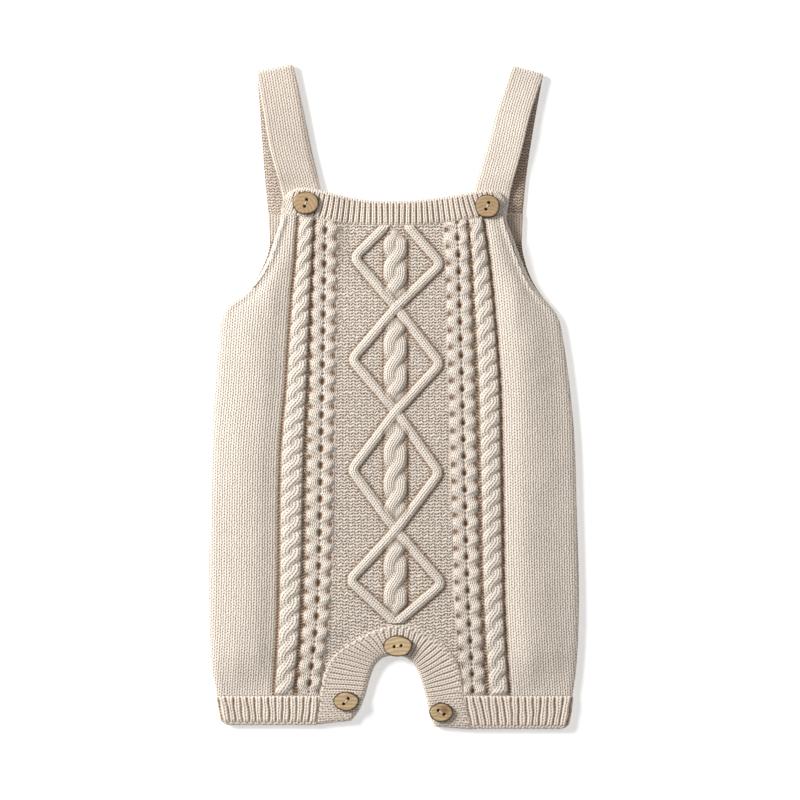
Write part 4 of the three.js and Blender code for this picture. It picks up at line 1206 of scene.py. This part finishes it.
def strap(side):
    back_run, front_run = STRAP_RUNS[side]
    outer_back, inner_back = strap_run(back_run, 0.0)
    outer_front, inner_front = strap_run(front_run, LAYER)
    fold_line = inner_back[-1] - outer_back[-1]
    beyond = np.array([-fold_line[1], fold_line[0], 0]) / np.linalg.norm(fold_line)
    beyond = beyond * np.sign(beyond[1])
    up = np.array([0, 0, 1.0])
    angles = np.linspace(0, math.pi, FOLD_ROWS + 2)[1:-1, None]
    turn = LAYER / 2 * (beyond * np.sin(angles) + up * (1 - np.cos(angles)))
    outer = np.concatenate([outer_back, outer_back[-1] + turn, outer_front])
    inner = np.concatenate([inner_back, inner_back[-1] + turn, inner_front])
    facing = np.concatenate([
        np.tile(-up, (len(outer_back), 1)), beyond * np.sin(angles) - up * np.cos(angles),
        np.tile(up, (len(outer_front), 1)),
    ])
    share, front_start = STRAP_SHARES, len(outer_back) + FOLD_ROWS
    steps_along = np.linalg.norm(np.diff((outer + inner) / 2, axis=0), axis=1)
    length = np.concatenate([[0], np.cumsum(steps_along)])
    width = np.linalg.norm(inner - outer, axis=1)[:, None]
    to_edge = np.minimum(share, 1 - share)[None] * width
    thick = rim(to_edge)
    stitches = (0.8 + 0.2 * np.cos(TURN * length / SELVEDGE_PITCH))[:, None]
    selvedge = SELVEDGE * bump(to_edge - 1.6, 1.0) * stitches
    base = outer[:, None] + (inner - outer)[:, None] * share[None, :, None]
    on_front = np.arange(len(outer)) >= front_start
    settle = np.clip((length - length[front_start]) / SETTLE_ALONG, 0, 1) * on_front
    settle = settle * (1 - smooth(length, *(length[-1] - end for end in BUTTONED)))
    tilt = TILT * (1 - share) - TILT_BACK * smooth(share, 0.85, 1.0)
    base[..., 2] += settle[:, None] * tilt[None]
    raised = thick / 2 + selvedge * (facing[:, 2:3] > -0.5)
    front_face = base + facing[:, None] * raised[..., None]
    back_face = base - facing[:, None] * (thick / 2)[..., None]
    u = share[None] * width / WALE
    v = np.repeat((length / COURSE)[:, None], len(share), 1)
    # Painted shade in a line beside each selvedge and on the front run; the face below carries
    # painted shade of the inside.
    painted_shading = np.clip(0.2 * bump(to_edge - 2.9, 0.5), 0, 1) + FRONT_RUN_PAINTED_SHADE[side] * on_front[:, None]
    grids = [front_face, back_face, u, v, painted_shading]
    if side == "left":  # wound the other way, so that its faces look outward too
        grids = [g[:, ::-1] for g in grids]
    front_face, back_face, u, v, painted_shading = grids
    return wall(f"strap_{side}_cloth", front_face, back_face, [(u, v)], painted_shading, coarse=1,
                below=(REVERSE_PAINTED_SHADE[side], 1.0))


straps = {side: strap(side) for side in ("left", "right")}

# %% [markdown]
# ## Wooden buttons
# Each button is a slice of a small branch with its bark left on, so no two have quite the same
# outline. A ring of points for each radius gives the rounded face and the two thread holes, and a
# shader adds the growth rings, the pale worn face and the burnt bark, and paints shade into the
# holes.

# %% Wood and thread
RING_LOOK = {"Scale": 1.1, "Distortion": 3.2, "Detail": 3.0, "Detail Scale": 1.4}
EARLY_WOOD, LATE_WOOD = (0.52, 0.385, 0.21, 1), (0.74, 0.59, 0.38, 1)
PATCH, STAIN = (0.40, 0.26, 0.12, 1), (0.24, 0.12, 0.045, 1)
# The bark's own dark colour, and an almost black painted shade for the thread holes.
BARK, HOLE = (0.055, 0.028, 0.012, 1), (0.012, 0.007, 0.004, 1)
THREAD_DARK, THREAD_PALE = (0.55, 0.46, 0.34, 1), (0.80, 0.72, 0.58, 1)

wood, net, surface = new_material("branch wood")
rings = net.node("ShaderNodeTexWave", wave_type="RINGS", rings_direction="SPHERICAL")
net.plug(rings.inputs["Vector"], net.node("ShaderNodeUVMap", uv_map="Grain").outputs[0])
set_surface(rings, RING_LOOK)
patch, pores = net.noise(net.here(), 190.0, 4.0), net.noise(net.here(), 1500.0, 2.0)
face = net.tint(rings.outputs["Fac"], EARLY_WOOD, LATE_WOOD)
face = net.tint(net.math("MULTIPLY", patch, 0.7), face, PATCH)
for title, colour in (("tone", STAIN), ("bark", BARK), ("hole", HOLE)):
    face = net.tint(net.mask(title), face, colour)
net.plug(surface.inputs["Base Color"], face)
net.plug(surface.inputs["Roughness"], net.scaled(pores, 0.25, 0.42))
grain = net.math("ADD", rings.outputs["Fac"], pores)
net.plug(surface.inputs["Normal"], net.relief(grain, 0.12))

thread, net, surface = new_material("cotton thread")
ply = net.node("ShaderNodeTexWave", bands_direction="DIAGONAL")
net.fill((ply.inputs["Vector"], ply.inputs["Scale"]), (net.here(), 700.0))
twist = ply.outputs["Fac"]
net.plug(surface.inputs["Base Color"], net.tint(twist, THREAD_DARK, THREAD_PALE))
net.plug(surface.inputs["Roughness"], net.scaled(twist, 0.2, 0.6))
net.plug(surface.inputs["Normal"], net.relief(twist, 0.1))
print("materials:", wood.name, "and", thread.name)

# %% Slice of a branch
HOLE_RADIUS, HOLE_REACH, HOLE_DEPTH, HOLE_EDGE = 0.95, 2.2, 1.9, 0.25
BUTTON_RIM = 0.75
RINGS, SPOKES = 26, 96
UNDER_RINGS = (RINGS - 1, RINGS - 2, RINGS - 4)


def band_faces(first, second, count):
    """Faces between two closed rings of points."""
    for k in range(count):
        n = (k + 1) % count
        yield first + k, second + k, second + n, first + n


def slice_of_wood(low, high, turn, lump, dark, stain):
    """Points, faces and masks of a button's wood, about its own middle."""
    half = (high - low) / 2
    angle = np.linspace(0, TURN, SPOKES, endpoint=False)
    wobble = 1 - 0.018 + 0.018 * np.sin(3 * angle + lump) * np.cos(2 * angle - lump)
    radius = np.linspace(0, 1, RINGS + 1)[1:, None]
    x, y = radius * wobble * half[0] * np.cos(angle), radius * wobble * half[1] * np.sin(angle)
    from_rim = (1 - radius) * half[:2].min() * np.ones(x.shape)
    holes = [(s * HOLE_REACH * math.cos(turn), s * HOLE_REACH * math.sin(turn)) for s in (-1, 1)]
    near = np.min([np.hypot(x - hole_x, y - hole_y) for hole_x, hole_y in holes], 0)
    depth = 1 - smooth(near, HOLE_RADIUS - HOLE_EDGE, HOLE_RADIUS + HOLE_EDGE)
    top = high[2] - 0.45 * (1 - smooth(from_rim, 0, BUTTON_RIM * 1.6)) - HOLE_DEPTH * depth
    top = top - 0.036 * np.sin(5 * angle + lump) * radius**3
    bottom = low[2] + 0.35 * (1 - smooth(from_rim, 0, BUTTON_RIM * 1.4))
    points = [(0, 0, high[2])] + list(zip(x.ravel(), y.ravel(), top.ravel()))
    faces = [(0, 1 + k, 1 + (k + 1) % SPOKES) for k in range(SPOKES)]
    for ring in range(RINGS - 1):
        faces += band_faces(1 + ring * SPOKES, 1 + (ring + 1) * SPOKES, SPOKES)
    last = 1 + (RINGS - 1) * SPOKES
    for ring in UNDER_RINGS:
        faces += band_faces(last, len(points), SPOKES)
        last = len(points)
        points += list(zip(x[ring], y[ring], bottom[ring]))
    faces.append(tuple(last + k for k in range(SPOKES))[::-1])

    rest = len(UNDER_RINGS) * SPOKES
    bark = 1 - smooth(from_rim, 0.3, 1.0 + 0.3 * np.sin(4 * angle + lump))
    flat = np.array(points)
    tone = dark + 0.85 * stain * bump(np.hypot(flat[:, 0] - 2.2, flat[:, 1] - 1.6), 3.6)
    masks = {"bark": np.concatenate([[0], bark.ravel(), np.ones(rest)]),
             "hole": np.concatenate([[0], depth.ravel(), np.zeros(rest)]),
             "tone": np.clip(tone, 0, 1)}
    return points, faces, masks


# %% Thread of a button
THREAD_REACH, THREAD_HALF, THREAD_SIDES, THREAD_STEPS = 1.6, (0.42, 0.3), 8, 13


def bar_of_thread(top, turn, first):
    """A short bar that dips into both holes, with its points numbered from first."""
    direction = np.array([math.cos(turn), math.sin(turn), 0])
    across = np.array([-direction[1], direction[0], 0])
    up = np.array([0, 0, 1.0])
    points, faces = [], []
    for t in np.linspace(-1, 1, THREAD_STEPS):
        spine = direction * t * THREAD_REACH + up * (top + 0.1 - 1.6 * abs(t) ** 5)
        for a in TURN * np.arange(THREAD_SIDES) / THREAD_SIDES:
            round_it = across * THREAD_HALF[0] * math.cos(a) + up * THREAD_HALF[1] * math.sin(a)
            points.append(tuple(spine + round_it))
    for step in range(THREAD_STEPS - 1):
        start = first + step * THREAD_SIDES
        faces += [f[::-1] for f in band_faces(start, start + THREAD_SIDES, THREAD_SIDES)]
    cap = tuple(range(first, first + THREAD_SIDES))
    last = (THREAD_STEPS - 1) * THREAD_SIDES
    return points, faces + [cap[::-1], tuple(k + last for k in cap)]


# %% Buttons
BUTTONS = {
    # turn of the holes in degrees, lumps of the outline, how dark, and how stained
    "button_strap_left": (72, 0.4, 0.45, 0.0), "button_strap_right": (66, 1.7, 0.4, 0.15),
    "button_crotch": (8, 2.9, 0.0, 0.0), "button_leg_left": (50, 4.2, 0.12, 0.2),
    "button_leg_right": (-35, 5.5, 0.12, 1.0),
}


def button(name, degrees, lump, dark, stain):
    low, high = (np.array(c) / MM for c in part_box(name))
    turn = math.radians(degrees)
    points, faces, masks = slice_of_wood(low, high, turn, lump, dark, stain)
    wooden, wooden_points = len(faces), len(points)
    thread_points, thread_faces = bar_of_thread(high[2], turn, wooden_points)
    points, faces = np.array(points + thread_points), faces + thread_faces
    centre = (low + high) / 2
    mesh = bpy.data.meshes.new(f"{name}_wood")
    mesh.from_pydata((points + [centre[0], centre[1], 0]) * MM, [], faces)
    for title, values in masks.items():
        mesh.attributes.new(title, "FLOAT", "POINT").data.foreach_set(
            "value", np.concatenate([values, np.zeros(len(thread_points))]))
    corners = np.empty(len(mesh.loops), int)
    mesh.loops.foreach_get("vertex_index", corners)
    grain = points[corners][:, :2] / ((high - low) / 2)[:2].max()
    grain = grain + (0.35 * math.cos(lump), 0.3 + lump)
    mesh.uv_layers.new(name="Grain").data.foreach_set("uv", grain.ravel())
    mesh.materials.append(wood)
    mesh.materials.append(thread)
    mesh.polygons.foreach_set("material_index", [0] * wooden + [1] * (len(faces) - wooden))
    mesh.shade_smooth()
    piece = add(mesh.name, mesh)
    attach(piece, "root")
    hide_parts(name)
    return piece


buttons = [button(name, *look) for name, look in BUTTONS.items()]
print(len(buttons), "buttons")

# %% [markdown]
# ## Handing the pieces to the frame
# Each piece of cloth gets its cotton, joins the root body, and hides the plain solid it stands
# for. The table also lists the slot, the size it was knitted to and what it lies on, which this
# script does not use.

# %% Sheets
SHEETS = [
    # piece, node, slot, cotton, flat size in metres, its area, what it rests on
    (back_panel, "back_panel", "knit_back", "back", (0.241, 0.295), 0.0650, "floor"),
    (front_panel, "front_panel", "knit_front", "front", (0.241, 0.313), 0.0672, back_panel),
    (back_band, "back_neck_band", "knit_rib", "rib", (0.166, 0.018), 0.0028, "floor"),
    (neck_band, "front_neck_band", "knit_rib", "rib", (0.146, 0.0185), 0.0026, straps["left"]),
    (back_crotch, "back_crotch_band", "knit_rib", "rib", (0.165, 0.024), 0.0038, "floor"),
    (front_crotch, "front_crotch_band", "knit_rib", "rib", (0.165, 0.024), 0.0038, back_crotch),
    (cuffs["left"], "leg_cuff_left", "knit_rib", "rib", (0.134, 0.0195), 0.0026, "floor"),
    (cuffs["right"], "leg_cuff_right", "knit_rib", "rib", (0.140, 0.022), 0.0030, "floor"),
    (straps["left"], "strap_left", "knit_strap", "strap", (0.0265, 0.205), 0.0052, "floor"),
    (straps["right"], "strap_right", "knit_strap", "strap", (0.024, 0.205), 0.0047, "floor"),
]
for piece, node, slot, part, flat, area, below in SHEETS:
    piece.data.materials.append(cotton[part])
    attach(piece, "root")
    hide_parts(node)
print(len(SHEETS), "sheets of cloth")
